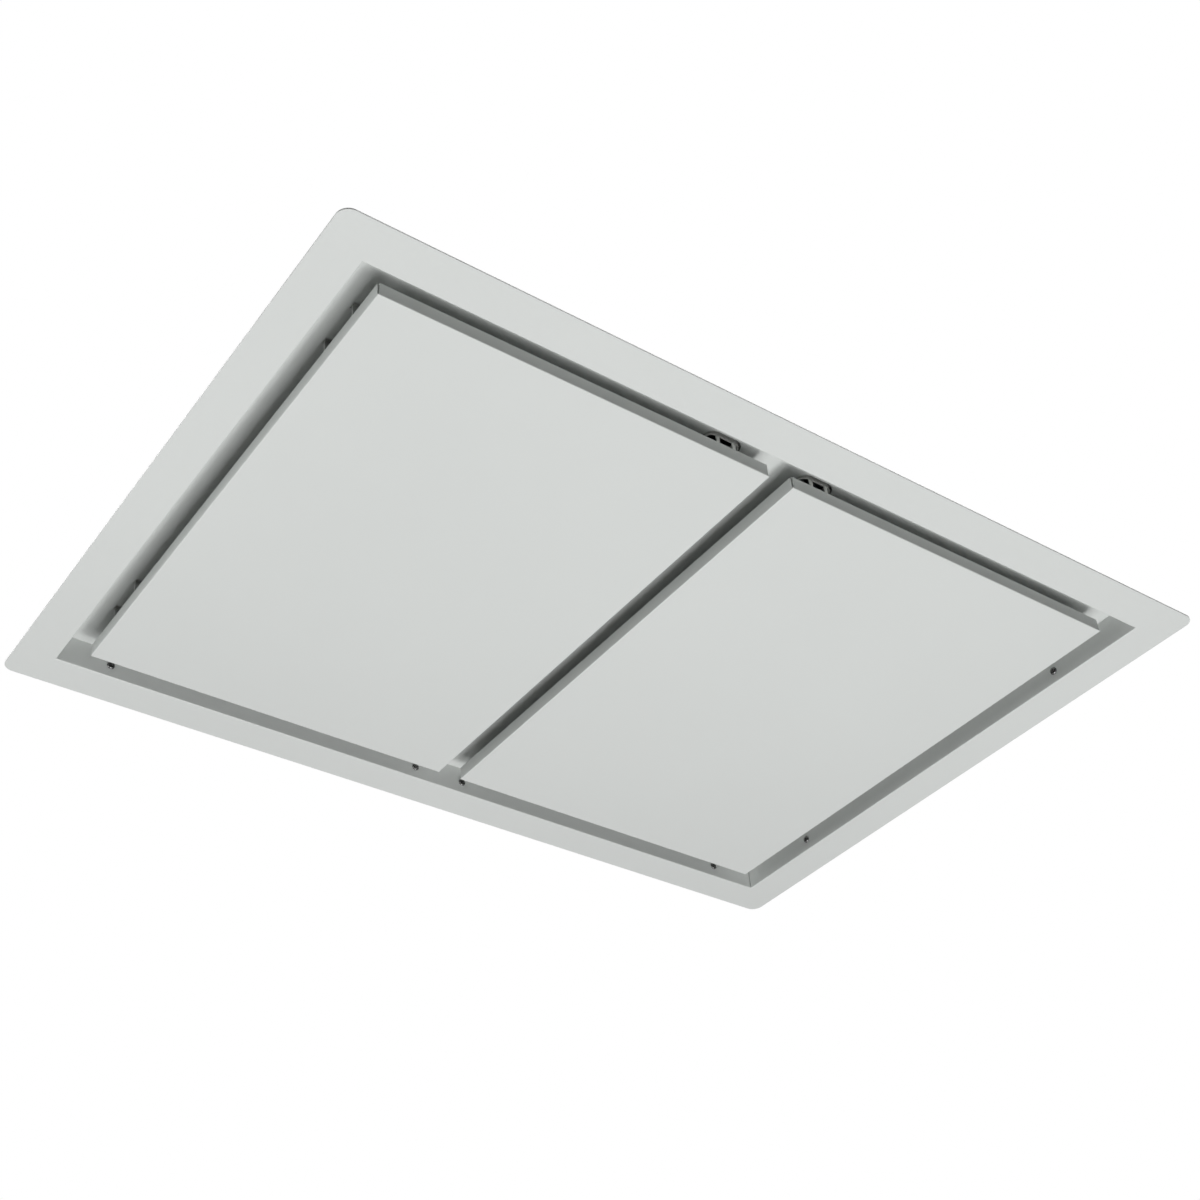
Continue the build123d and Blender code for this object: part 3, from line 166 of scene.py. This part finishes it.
# How far the rounded normal leans from the flat one: 1 on a sharp corner, 0 on a flat face.
def makeEdgeMask(settings):
    group, start, end = newGroup(
        "edgeMask",
        [("Radius", "NodeSocketFloat", settings["radius"])],
        [("Mask", "NodeSocketFloat"), ("Normal", "NodeSocketVector")],
    )
    rounded = group.nodes.new("ShaderNodeBevel")
    rounded.samples = settings["samples"]
    group.links.new(start.outputs["Radius"], rounded.inputs["Radius"])
    geometry = group.nodes.new("ShaderNodeNewGeometry")
    lean = addVectorMath(group, "DOT_PRODUCT", rounded.outputs["Normal"])
    group.links.new(geometry.outputs["Normal"], lean.inputs[1])
    mask = addSpread(
        group, lean.outputs["Value"], 0.0, 1.0, lowest=settings["flat"], highest=settings["sharp"]
    )
    group.links.new(mask, end.inputs["Mask"])
    group.links.new(rounded.outputs["Normal"], end.inputs["Normal"])
    return group


edgeMask = makeEdgeMask(edges)


def addEdges(tree, radius):
    corner = tree.nodes.new("ShaderNodeGroup")
    corner.node_tree = edgeMask
    corner.inputs["Radius"].default_value = radius
    return corner


def addWorn(tree, radius, amount):
    return addMath(tree, "MULTIPLY", addEdges(tree, radius).outputs["Mask"], amount)


# A skin is the group behind a kind of finish: its colour, its roughness and its relief's height.
def newSkin(name, colour, values):
    entries = [("Colour", "NodeSocketColor", (*colour, 1.0))]
    for label, value in values.items():
        entries.append((label, "NodeSocketFloat", value))
    results = [
        ("Colour", "NodeSocketColor"),
        ("Roughness", "NodeSocketFloat"),
        ("Height", "NodeSocketFloat"),
    ]
    return newGroup(name, entries, results)


def endSkin(group, start, end, shade, rough, height):
    colour = addShade(group, start.outputs["Colour"], shade)
    group.links.new(colour, end.inputs["Colour"])
    group.links.new(rough, end.inputs["Roughness"])
    group.links.new(height, end.inputs["Height"])
    return group


# In the four dictionaries below, a noise is its scale and its detail, and a pair of limits is
# how far it takes the shade or the roughness.
paint = {
    "colour": (0.66, 0.68, 0.665),
    "peel": (750.0, 1.0),
    "waves": (26.0, 2.0),
    "clouds": (5.0, 3.0),
    "specks": (2400.0, 0.0),
    "cloudShade": (0.992, 1.008),
    "speckShade": (0.992, 1.008),
    "cornerRadius": 0.0005,
    "cornerWear": -0.05,
    "waveGloss": (0.36, 0.42),
    "peelGloss": (-0.03, 0.03),
    "waveHeight": 2.0,
}


def makePaintSkin(look):
    group, start, end = newSkin("paintSkin", look["colour"], {"Peel": look["peel"][0]})
    coords = addCoords(group)
    peel = addNoise(group, coords, *look["peel"])
    group.links.new(start.outputs["Peel"], peel.node.inputs["Scale"])
    waves = addNoise(group, coords, *look["waves"])
    clouds = addNoise(group, coords, *look["clouds"])
    specks = addNoise(group, coords, *look["specks"])
    clouded = addSpread(group, clouds, *look["cloudShade"])
    specked = addSpread(group, specks, *look["speckShade"])
    shade = addMath(group, "MULTIPLY", clouded, specked)
    shade = addMath(group, "ADD", shade, addWorn(group, look["cornerRadius"], look["cornerWear"]))
    waved = addSpread(group, waves, *look["waveGloss"])
    peeled = addSpread(group, peel, *look["peelGloss"])
    rough = addMath(group, "ADD", waved, peeled)
    height = addMath(group, "ADD", peel, addMath(group, "MULTIPLY", waves, look["waveHeight"]))
    return endSkin(group, start, end, shade, rough, height)


spangle = {
    "colour": (0.5, 0.52, 0.53),
    "flakes": 110.0,
    "warp": (160.0, 2.0),
    "warpReach": 0.006,
    "frost": (900.0, 2.0),
    "stain": (7.0, 4.0),
    "flakeShade": (0.86, 1.1),
    "stainShade": (0.92, 1.05),
    "cornerRadius": 0.0006,
    "cornerWear": 0.18,
    "flakeGloss": (0.3, 0.52),
    "frostGloss": (-0.04, 0.04),
}


def makeSpangleSkin(look):
    group, start, end = newSkin("spangleSkin", look["colour"], {"Flakes": look["flakes"]})
    coords = addCoords(group)
    warp = addNoise(group, coords, *look["warp"]).node
    shift = addVectorMath(group, "SCALE", warp.outputs["Color"])
    shift.inputs["Scale"].default_value = look["warpReach"]
    bent = addVectorMath(group, "ADD", coords)
    group.links.new(shift.outputs["Vector"], bent.inputs[1])
    flakes = group.nodes.new("ShaderNodeTexVoronoi")
    group.links.new(start.outputs["Flakes"], flakes.inputs["Scale"])
    group.links.new(bent.outputs["Vector"], flakes.inputs["Vector"])
    parts = group.nodes.new("ShaderNodeSeparateColor")
    group.links.new(flakes.outputs["Color"], parts.inputs["Color"])
    frost = addNoise(group, coords, *look["frost"])
    stain = addNoise(group, coords, *look["stain"])
    flaked = addSpread(group, parts.outputs["Red"], *look["flakeShade"], lowest=0.0, highest=1.0)
    stained = addSpread(group, stain, *look["stainShade"])
    shade = addMath(group, "MULTIPLY", flaked, stained)
    shade = addMath(group, "ADD", shade, addWorn(group, look["cornerRadius"], look["cornerWear"]))
    rough = addSpread(group, parts.outputs["Green"], *look["flakeGloss"], lowest=0.0, highest=1.0)
    rough = addMath(group, "ADD", rough, addSpread(group, frost, *look["frostGloss"]))
    return endSkin(group, start, end, shade, rough, frost)


brushed = {
    "colour": (0.6, 0.6, 0.6),
    "roughness": 0.3,
    "wear": 0.2,
    "lines": (60.0, 3.0),
    "lineStretch": (1.0, 30.0, 30.0),
    "clouds": (45.0, 3.0),
    "lineShade": (0.94, 1.04),
    "cloudShade": (0.93, 1.04),
    "cornerRadius": 0.0004,
    "cloudGloss": (-0.06, 0.06),
    "lineGloss": (-0.05, 0.05),
}


def makeBrushedSkin(look):
    group, start, end = newSkin(
        "brushedSkin", look["colour"], {"Roughness": look["roughness"], "Wear": look["wear"]}
    )
    coords = addCoords(group)
    lines = addNoise(group, coords, *look["lines"], stretch=look["lineStretch"])
    clouds = addNoise(group, coords, *look["clouds"])
    lined = addSpread(group, lines, *look["lineShade"])
    clouded = addSpread(group, clouds, *look["cloudShade"])
    shade = addMath(group, "MULTIPLY", lined, clouded)
    worn = addWorn(group, look["cornerRadius"], start.outputs["Wear"])
    shade = addMath(group, "ADD", shade, worn)
    cloudy = addSpread(group, clouds, *look["cloudGloss"])
    rough = addMath(group, "ADD", start.outputs["Roughness"], cloudy)
    rough = addMath(group, "ADD", rough, addSpread(group, lines, *look["lineGloss"]))
    return endSkin(group, start, end, shade, rough, lines)


moulded = {
    "colour": (0.03, 0.03, 0.03),
    "roughness": 0.5,
    "grain": (1400.0, 2.0),
    "flow": (30.0, 3.0),
    "grainShade": (0.92, 1.08),
    "flowShade": (0.94, 1.06),
    "cornerRadius": 0.0004,
    "cornerWear": 0.25,
    "flowGloss": (-0.06, 0.06),
}


def makeMouldedSkin(look):
    group, start, end = newSkin(
        "mouldedSkin", look["colour"], {"Roughness": look["roughness"], "Grain": look["grain"][0]}
    )
    coords = addCoords(group)
    grain = addNoise(group, coords, *look["grain"])
    group.links.new(start.outputs["Grain"], grain.node.inputs["Scale"])
    flow = addNoise(group, coords, *look["flow"])
    grained = addSpread(group, grain, *look["grainShade"])
    flowed = addSpread(group, flow, *look["flowShade"])
    shade = addMath(group, "MULTIPLY", grained, flowed)
    shade = addMath(group, "ADD", shade, addWorn(group, look["cornerRadius"], look["cornerWear"]))
    flowing = addSpread(group, flow, *look["flowGloss"])
    rough = addMath(group, "ADD", start.outputs["Roughness"], flowing)
    return endSkin(group, start, end, shade, rough, grain)


skins = {
    "paint": makePaintSkin(paint),
    "spangle": makeSpangleSkin(spangle),
    "brushed": makeBrushedSkin(brushed),
    "moulded": makeMouldedSkin(moulded),
}
print("node groups made:", len(skins) + 1)

relief = {
    "depth": 0.0002,  # where a finish gives none of its own
    "cornerRadius": 0.0005,
}


def makeMaterial(name, skin, colour, values, bump, metallic=0.0, depth=relief["depth"]):
    material = bpy.data.materials.new(name)
    material.use_nodes = True
    tree = material.node_tree
    shader = tree.nodes["Principled BSDF"]
    surface = tree.nodes.new("ShaderNodeGroup")
    surface.node_tree = skins[skin]
    surface.inputs["Colour"].default_value = (*colour, 1.0)
    for label, value in values.items():
        surface.inputs[label].default_value = value
    rounded = addEdges(tree, relief["cornerRadius"])
    raised = tree.nodes.new("ShaderNodeBump")
    raised.inputs["Strength"].default_value = bump
    raised.inputs["Distance"].default_value = depth
    tree.links.new(surface.outputs["Height"], raised.inputs["Height"])
    tree.links.new(rounded.outputs["Normal"], raised.inputs["Normal"])
    tree.links.new(raised.outputs["Normal"], shader.inputs["Normal"])
    tree.links.new(surface.outputs["Colour"], shader.inputs["Base Color"])
    tree.links.new(surface.outputs["Roughness"], shader.inputs["Roughness"])
    shader.inputs["Metallic"].default_value = metallic
    material.diffuse_color = (*colour, 1.0)
    return material


finishes = {
    "white_paint": makeMaterial(
        "whitePaint", "paint", (0.665, 0.685, 0.67), {}, bump=0.06, depth=0.00012
    ),
    "galvanised_steel": makeMaterial(
        "galvanisedSteel", "spangle", (0.52, 0.545, 0.56), {},
        bump=0.05, metallic=0.85, depth=0.0001,
    ),
    "zinc_plate": makeMaterial(
        "zincPlate", "brushed", (0.62, 0.625, 0.61), {"Roughness": 0.32},
        bump=0.05, metallic=1.0, depth=0.0001,
    ),
    "spring_steel": makeMaterial(
        "springSteel", "brushed", (0.68, 0.68, 0.66), {"Roughness": 0.24, "Wear": 0.1},
        bump=0.04, metallic=1.0,
    ),
    "black_steel": makeMaterial(
        "blackSteel", "brushed", (0.16, 0.16, 0.16), {"Roughness": 0.2, "Wear": 0.3},
        bump=0.03, metallic=1.0,
    ),
    "filter_aluminium": makeMaterial(
        "filterAluminium", "brushed", (0.74, 0.75, 0.76), {"Roughness": 0.34, "Wear": 0.12},
        bump=0.06, metallic=1.0,
    ),
    "black_plastic": makeMaterial(
        "blackPlastic", "moulded", (0.03, 0.031, 0.032), {"Roughness": 0.46}, bump=0.12
    ),
    "white_plastic": makeMaterial(
        "whitePlastic", "moulded", (0.82, 0.82, 0.79), {"Roughness": 0.36}, bump=0.08
    ),
    "black_rubber": makeMaterial(
        "blackRubber", "moulded", (0.028, 0.028, 0.029), {"Roughness": 0.78, "Grain": 900.0},
        bump=0.16,
    ),
    "motor_paint": makeMaterial(
        "motorPaint", "moulded", (0.055, 0.058, 0.062), {"Roughness": 0.42, "Grain": 700.0},
        bump=0.14, metallic=0.2,
    ),
    "board_green": makeMaterial(
        "boardGreen", "moulded", (0.03, 0.16, 0.07), {"Roughness": 0.28}, bump=0.05
    ),
    "capacitor_can": makeMaterial(
        "capacitorCan", "brushed", (0.7, 0.7, 0.71), {"Roughness": 0.28}, bump=0.04, metallic=1.0
    ),
}
print("materials made:", len(finishes))

slotOf = {part["node"]: part["material_slot"] for part in frame["record"]["subparts"]}
for name, node in nodes.items():
    node.data.materials.clear()
    node.data.materials.append(finishes[slotOf[name]])
print("materials given to", len(slotOf), "nodes")


def finishMesh(mesh, name, body, slot, stands):
    bmesh.ops.recalc_face_normals(mesh, faces=mesh.faces[:])
    data = bpy.data.meshes.new(name)
    mesh.to_mesh(data)
    mesh.free()
    piece = bpy.data.objects.new(name, data)
    scene.collection.objects.link(piece)
    data.materials.append(finishes[slot])
    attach(piece, body)
    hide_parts(*stands)
    return piece


def smoothUnder(data, degrees):
    data.shade_smooth()
    data.set_sharp_from_angle(angle=math.radians(degrees))


# Button-head screws through the recess walls. The heads stand inwards from the walls' inner faces.
screws = {
    "headRadius": 0.0042,
    "headHeight": 0.0021,
    "headFlat": 0.42,  # share of the radius that stays flat on top
    "headSkirt": 0.25,  # share of the height that stands upright at the rim
    "domeSteps": 6,
    "socketRadius": 0.0015,
    "socketDepth": 0.0012,
    "socketCorners": 6,
    "cornerReach": 0.92,  # share of the socket's radius that its corners reach
    "mouthDepth": 0.0001,
    "height": 0.014,
    "wallX": 0.458,
    "wallY": 0.308,
    "alongX": (-0.4, -0.031, 0.031, 0.4),
    "alongY": (-0.2, 0.2),
    "tail": 0.009,
    "tailRadius": 0.0019,
    "steps": 28,
    "mergeUnder": 1e-6,
    "twist": 23.0,  # degrees from each screw to the next
    "smoothUnder": 40.0,
}


def drawHex(mesh, size, depth, capped):
    return bmesh.ops.create_circle(
        mesh,
        cap_ends=capped,
        segments=size["socketCorners"],
        radius=size["socketRadius"] * size["cornerReach"],
        matrix=Matrix.Translation((0, 0, size["headHeight"] - depth)),
    )["verts"]


def edgesAmong(mesh, verts):
    return [edge for edge in mesh.edges if all(vert in verts for vert in edge.verts)]


def makeScrew(size):
    mesh = bmesh.new()
    reach = size["headRadius"]
    tall = size["headHeight"]
    flat = size["headFlat"]
    skirt = size["headSkirt"]
    outline = [(size["socketRadius"], tall)]
    for step in range(size["domeSteps"] + 1):
        turn = math.radians(90.0 - 90.0 * step / size["domeSteps"])
        x = reach * (flat + (1.0 - flat) * math.cos(turn))
        z = tall * (skirt + (1.0 - skirt) * math.sin(turn))
        outline.append((x, z))
    outline += [(reach, 0.0), (size["tailRadius"], 0.0)]
    outline += [(size["tailRadius"], -size["tail"]), (0.0, -size["tail"])]
    points = [mesh.verts.new((x, 0.0, z)) for x, z in outline]
    lines = [mesh.edges.new(pair) for pair in zip(points, points[1:])]
    bmesh.ops.spin(
        mesh, geom=points + lines, cent=(0, 0, 0), axis=(0, 0, 1), angle=2 * math.pi,
        steps=size["steps"], use_merge=True,
    )
    bmesh.ops.remove_doubles(mesh, verts=mesh.verts[:], dist=size["mergeUnder"])
    rim = [edge for edge in mesh.edges if edge.is_boundary]
    floorVerts = drawHex(mesh, size, size["socketDepth"], True)
    mouthVerts = drawHex(mesh, size, size["mouthDepth"], False)
    floorEdges = edgesAmong(mesh, floorVerts)
    mouthEdges = edgesAmong(mesh, mouthVerts)
    bmesh.ops.bridge_loops(mesh, edges=floorEdges + mouthEdges)
    bmesh.ops.bridge_loops(mesh, edges=mouthEdges + rim)
    return mesh


def placeScrews(size):
    whole = bmesh.new()
    single = makeScrew(size)
    spare = bpy.data.meshes.new("screwPattern")
    single.to_mesh(spare)
    single.free()
    spots = []
    for x in size["alongX"]:
        spots.append(((x, -size["wallY"], size["height"]), Vector((0, 1, 0))))
        spots.append(((x, size["wallY"], size["height"]), Vector((0, -1, 0))))
    for y in size["alongY"]:
        spots.append(((-size["wallX"], y, size["height"]), Vector((1, 0, 0))))
        spots.append(((size["wallX"], y, size["height"]), Vector((-1, 0, 0))))
    for count, (place, out) in enumerate(spots):
        before = len(whole.verts)
        whole.from_mesh(spare)
        whole.verts.ensure_lookup_table()
        added = whole.verts[before:]
        turn = out.to_track_quat("Z", "Y").to_matrix().to_4x4()
        twist = Matrix.Rotation(math.radians(size["twist"] * count), 4, "Z")
        bmesh.ops.transform(
            whole, matrix=Matrix.Translation(place) @ turn @ twist, verts=added
        )
    bpy.data.meshes.remove(spare)
    return whole


screwPiece = finishMesh(
    placeScrews(screws), "frame_screws_round", "root", "black_steel", ["frame_screws"]
)
smoothUnder(screwPiece.data, screws["smoothUnder"])
print("frame screws made")

# Bowed leaf springs behind the filter latches, each drawn in its rest bow.
spring = {
    "sheet": 0.0005,
    "clear": 0.0006,  # from the pocket's back and from the latch
    "crown": 0.33,  # share of the half length that stays at the crown
    "steps": 24,
    "travel": 0.007,
    "spare": 0.0001,
    "smoothUnder": 40.0,
}


def makeSpring(size, low, high):
    mesh = bmesh.new()
    bmesh.ops.create_grid(mesh, x_segments=1, y_segments=size["steps"], size=1.0)
    near, far = (low.x, high.x) if low.x > 0 else (high.x, low.x)
    sign = math.copysign(1.0, far)
    reach = abs(far - near) - 2 * size["clear"]
    for vert in mesh.verts:
        rise = max(0.0, (abs(vert.co.y) - size["crown"]) / (1.0 - size["crown"]))
        ease = rise * rise * (3.0 - 2.0 * rise)
        place = near + sign * (size["clear"] + reach * ease)
        vert.co = (place, vert.co.y * high.y, low.z if vert.co.x < 0 else high.z)
    bmesh.ops.recalc_face_normals(mesh, faces=mesh.faces[:])
    bmesh.ops.solidify(mesh, geom=mesh.faces[:], thickness=size["sheet"])
    return mesh


for word in ("left", "right"):
    low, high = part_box(f"{word}_latch_spring")
    leaf = finishMesh(
        makeSpring(spring, low, high),
        f"{word}_latch_leaf", "root", "spring_steel", [f"{word}_latch_spring"],
    )
    smoothUnder(leaf.data, spring["smoothUnder"])
    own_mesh(leaf)
print("latch springs made")

# Expanded aluminium lattice, in layers, pressed into pleats and cut away round the latch.
lattice = {
    "inner": 0.0875,
    "outer": 0.3728,
    "halfDepth": 0.2228,
    "layers": (0.0358, 0.0375, 0.0392),
    "pitch": 0.0118,
    "turned": 45.0,
    "squash": 0.6,
    "strand": 0.0012,
    "thick": 0.0005,
    "pleat": 0.0143,
    "rise": 0.0026,
    "latchReach": 0.1204,
    "latchHalf": 0.0226,
}


def cutAway(mesh, point, normal):
    everything = mesh.verts[:] + mesh.edges[:] + mesh.faces[:]
    bmesh.ops.bisect_plane(mesh, geom=everything, plane_co=point, plane_no=normal, clear_outer=True)


def makeLayer(size, shift):
    mesh = bmesh.new()
    halfWide = (size["outer"] - size["inner"]) / 2
    reach = math.hypot(halfWide, size["halfDepth"] / size["squash"])
    count = int(2 * reach / size["pitch"])
    turn = Matrix.Rotation(math.radians(size["turned"]), 3, "Z")
    bmesh.ops.create_grid(mesh, x_segments=count, y_segments=count, size=reach)
    bmesh.ops.rotate(mesh, cent=(0, 0, 0), matrix=turn, verts=mesh.verts[:])
    bmesh.ops.scale(mesh, vec=(1.0, size["squash"], 1.0), verts=mesh.verts[:])
    bmesh.ops.translate(mesh, vec=(shift, shift / 2, 0), verts=mesh.verts[:])
    farX = halfWide + size["pitch"]
    farY = size["halfDepth"] + size["pitch"]
    outside = []
    for face in mesh.faces:
        centre = face.calc_center_median()
        if abs(centre.x) > farX or abs(centre.y) > farY:
            outside.append(face)
    bmesh.ops.delete(mesh, geom=outside, context="FACES")
    cells = mesh.faces[:]
    bmesh.ops.inset_individual(mesh, faces=cells, thickness=size["strand"] / 2)
    bmesh.ops.delete(mesh, geom=cells, context="FACES_ONLY")
    for sign in (-1, 1):
        cutAway(mesh, (sign * halfWide, 0, 0), (sign, 0, 0))
        cutAway(mesh, (0, sign * size["halfDepth"], 0), (0, sign, 0))
    return mesh


def makeLattice(size, side):
    whole = bmesh.new()
    spare = bpy.data.meshes.new("latticeLayer")
    middle = (size["inner"] + size["outer"]) / 2
    notchY = size["latchHalf"] + size["strand"]
    for count, height in enumerate(size["layers"]):
        layer = makeLayer(size, size["pitch"] * count / len(size["layers"]))
        for vert in layer.verts:
            phase = (vert.co.x / size["pleat"]) % 1.0
            vert.co.z = height - size["rise"] / 2 + size["rise"] * abs(2.0 * phase - 1.0)
            vert.co.x += middle
        notched = []
        for face in layer.faces:
            spot = face.calc_center_median()
            if spot.x < size["latchReach"] and abs(spot.y) < notchY:
                notched.append(face)
        bmesh.ops.delete(layer, geom=notched, context="FACES")
        bmesh.ops.scale(layer, vec=(side, 1.0, 1.0), verts=layer.verts[:])
        bmesh.ops.recalc_face_normals(layer, faces=layer.faces[:])
        bmesh.ops.solidify(layer, geom=layer.faces[:], thickness=size["thick"])
        layer.to_mesh(spare)
        layer.free()
        whole.from_mesh(spare)
    bpy.data.meshes.remove(spare)
    return whole


for side, word in ((-1, "left"), (1, "right")):
    net = finishMesh(
        makeLattice(lattice, side),
        f"{word}_filter_lattice", "root", "filter_aluminium", [f"{word}_filter_mesh"],
    )
    print(word, "filter lattice:", len(net.data.polygons), "faces")

# The studio: a pale floor well below, a white surround, soft lamps below, at the left and above.
studio = {
    "floorHeight": -2.6,
    "floorReach": 16.0,
    "floorGrain": (300.0, 3.0),
    "floorTone": (0.83, 0.85),
    "floorRoughness": 0.9,
    "floorPale": 0.95,
    "floorShare": 0.85,  # of the pale look, where the floor is seen
    "backdrop": 1.0,
    "surround": 0.05,
}


# One where the camera, a mirror or glass looks, and nought for the light that falls.
def addSeen(tree):
    path = tree.nodes.new("ShaderNodeLightPath")
    seen = addMath(tree, "MAXIMUM", path.outputs["Is Camera Ray"], path.outputs["Is Glossy Ray"])
    return addMath(tree, "MAXIMUM", seen, path.outputs["Is Transmission Ray"])


def addBlend(tree, share, first, second, target):
    blend = tree.nodes.new("ShaderNodeMixShader")
    tree.links.new(share, blend.inputs["Fac"])
    tree.links.new(first, blend.inputs[1])
    tree.links.new(second, blend.inputs[2])
    tree.links.new(blend.outputs["Shader"], target.inputs["Surface"])


def makeFloor(size):
    mesh = bmesh.new()
    bmesh.ops.create_grid(mesh, x_segments=1, y_segments=1, size=size["floorReach"])
    bmesh.ops.translate(mesh, vec=(0, 0, size["floorHeight"]), verts=mesh.verts[:])
    data = bpy.data.meshes.new("studioFloor")
    mesh.to_mesh(data)
    mesh.free()
    floor = bpy.data.objects.new("studioFloor", data)
    scene.collection.objects.link(floor)
    material = bpy.data.materials.new("floorPaper")
    material.use_nodes = True
    tree = material.node_tree
    grain = addNoise(tree, addCoords(tree), *size["floorGrain"])
    tone = addSpread(tree, grain, *size["floorTone"])
    shader = tree.nodes["Principled BSDF"]
    tree.links.new(tone, shader.inputs["Base Color"])
    shader.inputs["Roughness"].default_value = size["floorRoughness"]
    pale = tree.nodes.new("ShaderNodeEmission")
    pale.inputs["Strength"].default_value = size["floorPale"]
    share = addMath(tree, "MULTIPLY", addSeen(tree), size["floorShare"])
    target = tree.nodes["Material Output"]
    addBlend(tree, share, shader.outputs["BSDF"], pale.outputs["Emission"], target)
    data.materials.append(material)


def addBackground(tree, strength):
    background = tree.nodes.new("ShaderNodeBackground")
    background.inputs["Color"].default_value = white
    background.inputs["Strength"].default_value = strength
    return background.outputs["Background"]


def makeWorld(size):
    world = bpy.data.worlds.new("studioWorld")
    scene.world = world
    world.use_nodes = True
    tree = world.node_tree
    tree.nodes.clear()
    target = tree.nodes.new("ShaderNodeOutputWorld")
    shown = addBackground(tree, size["backdrop"])
    lit = addBackground(tree, size["surround"])
    addBlend(tree, addSeen(tree), lit, shown, target)


makeFloor(studio)
makeWorld(studio)

lamps = {
    "keyLamp": {
        "place": (0.45, -0.52, -2.3), "aim": (0.3, -0.3, 0.0), "size": (0.5, 0.5), "power": 17.6
    },
    "belowLamp": {
        "place": (-0.02, -0.42, -2.1), "aim": (-0.02, -0.42, 0.0), "size": (1.2, 1.9), "power": 22.6
    },
    "leftLamp": {
        "place": (-1.35, 0.05, -0.4), "aim": (0.0, 0.0, 0.0), "size": (0.7, 0.7), "power": 4.6
    },
    "topLamp": {
        "place": (1.2, -1.4, 2.6), "aim": (0.0, 0.0, 0.1), "size": (2.2, 2.2), "power": 40.0
    },
    "backLamp": {
        "place": (-1.6, 2.4, 1.8), "aim": (0.0, 0.0, 0.1), "size": (2.0, 2.0), "power": 30.0
    },
}


def addLamp(name, settings):
    data = bpy.data.lights.new(name, "AREA")
    data.shape = "RECTANGLE"
    data.size, data.size_y = settings["size"]
    data.energy = settings["power"]
    lamp = bpy.data.objects.new(name, data)
    scene.collection.objects.link(lamp)
    place = Vector(settings["place"])
    way = (Vector(settings["aim"]) - place).normalized()
    side = Vector((1.0, 0.0, 0.0))
    side = (side - way * side.dot(way)).normalized()
    turned = Matrix((side, side.cross(way), -way)).transposed().to_4x4()
    lamp.matrix_world = Matrix.Translation(place) @ turned
    lamp.visible_camera = False


for name, settings in lamps.items():
    addLamp(name, settings)
print("studio set, lamps:", len(lamps))
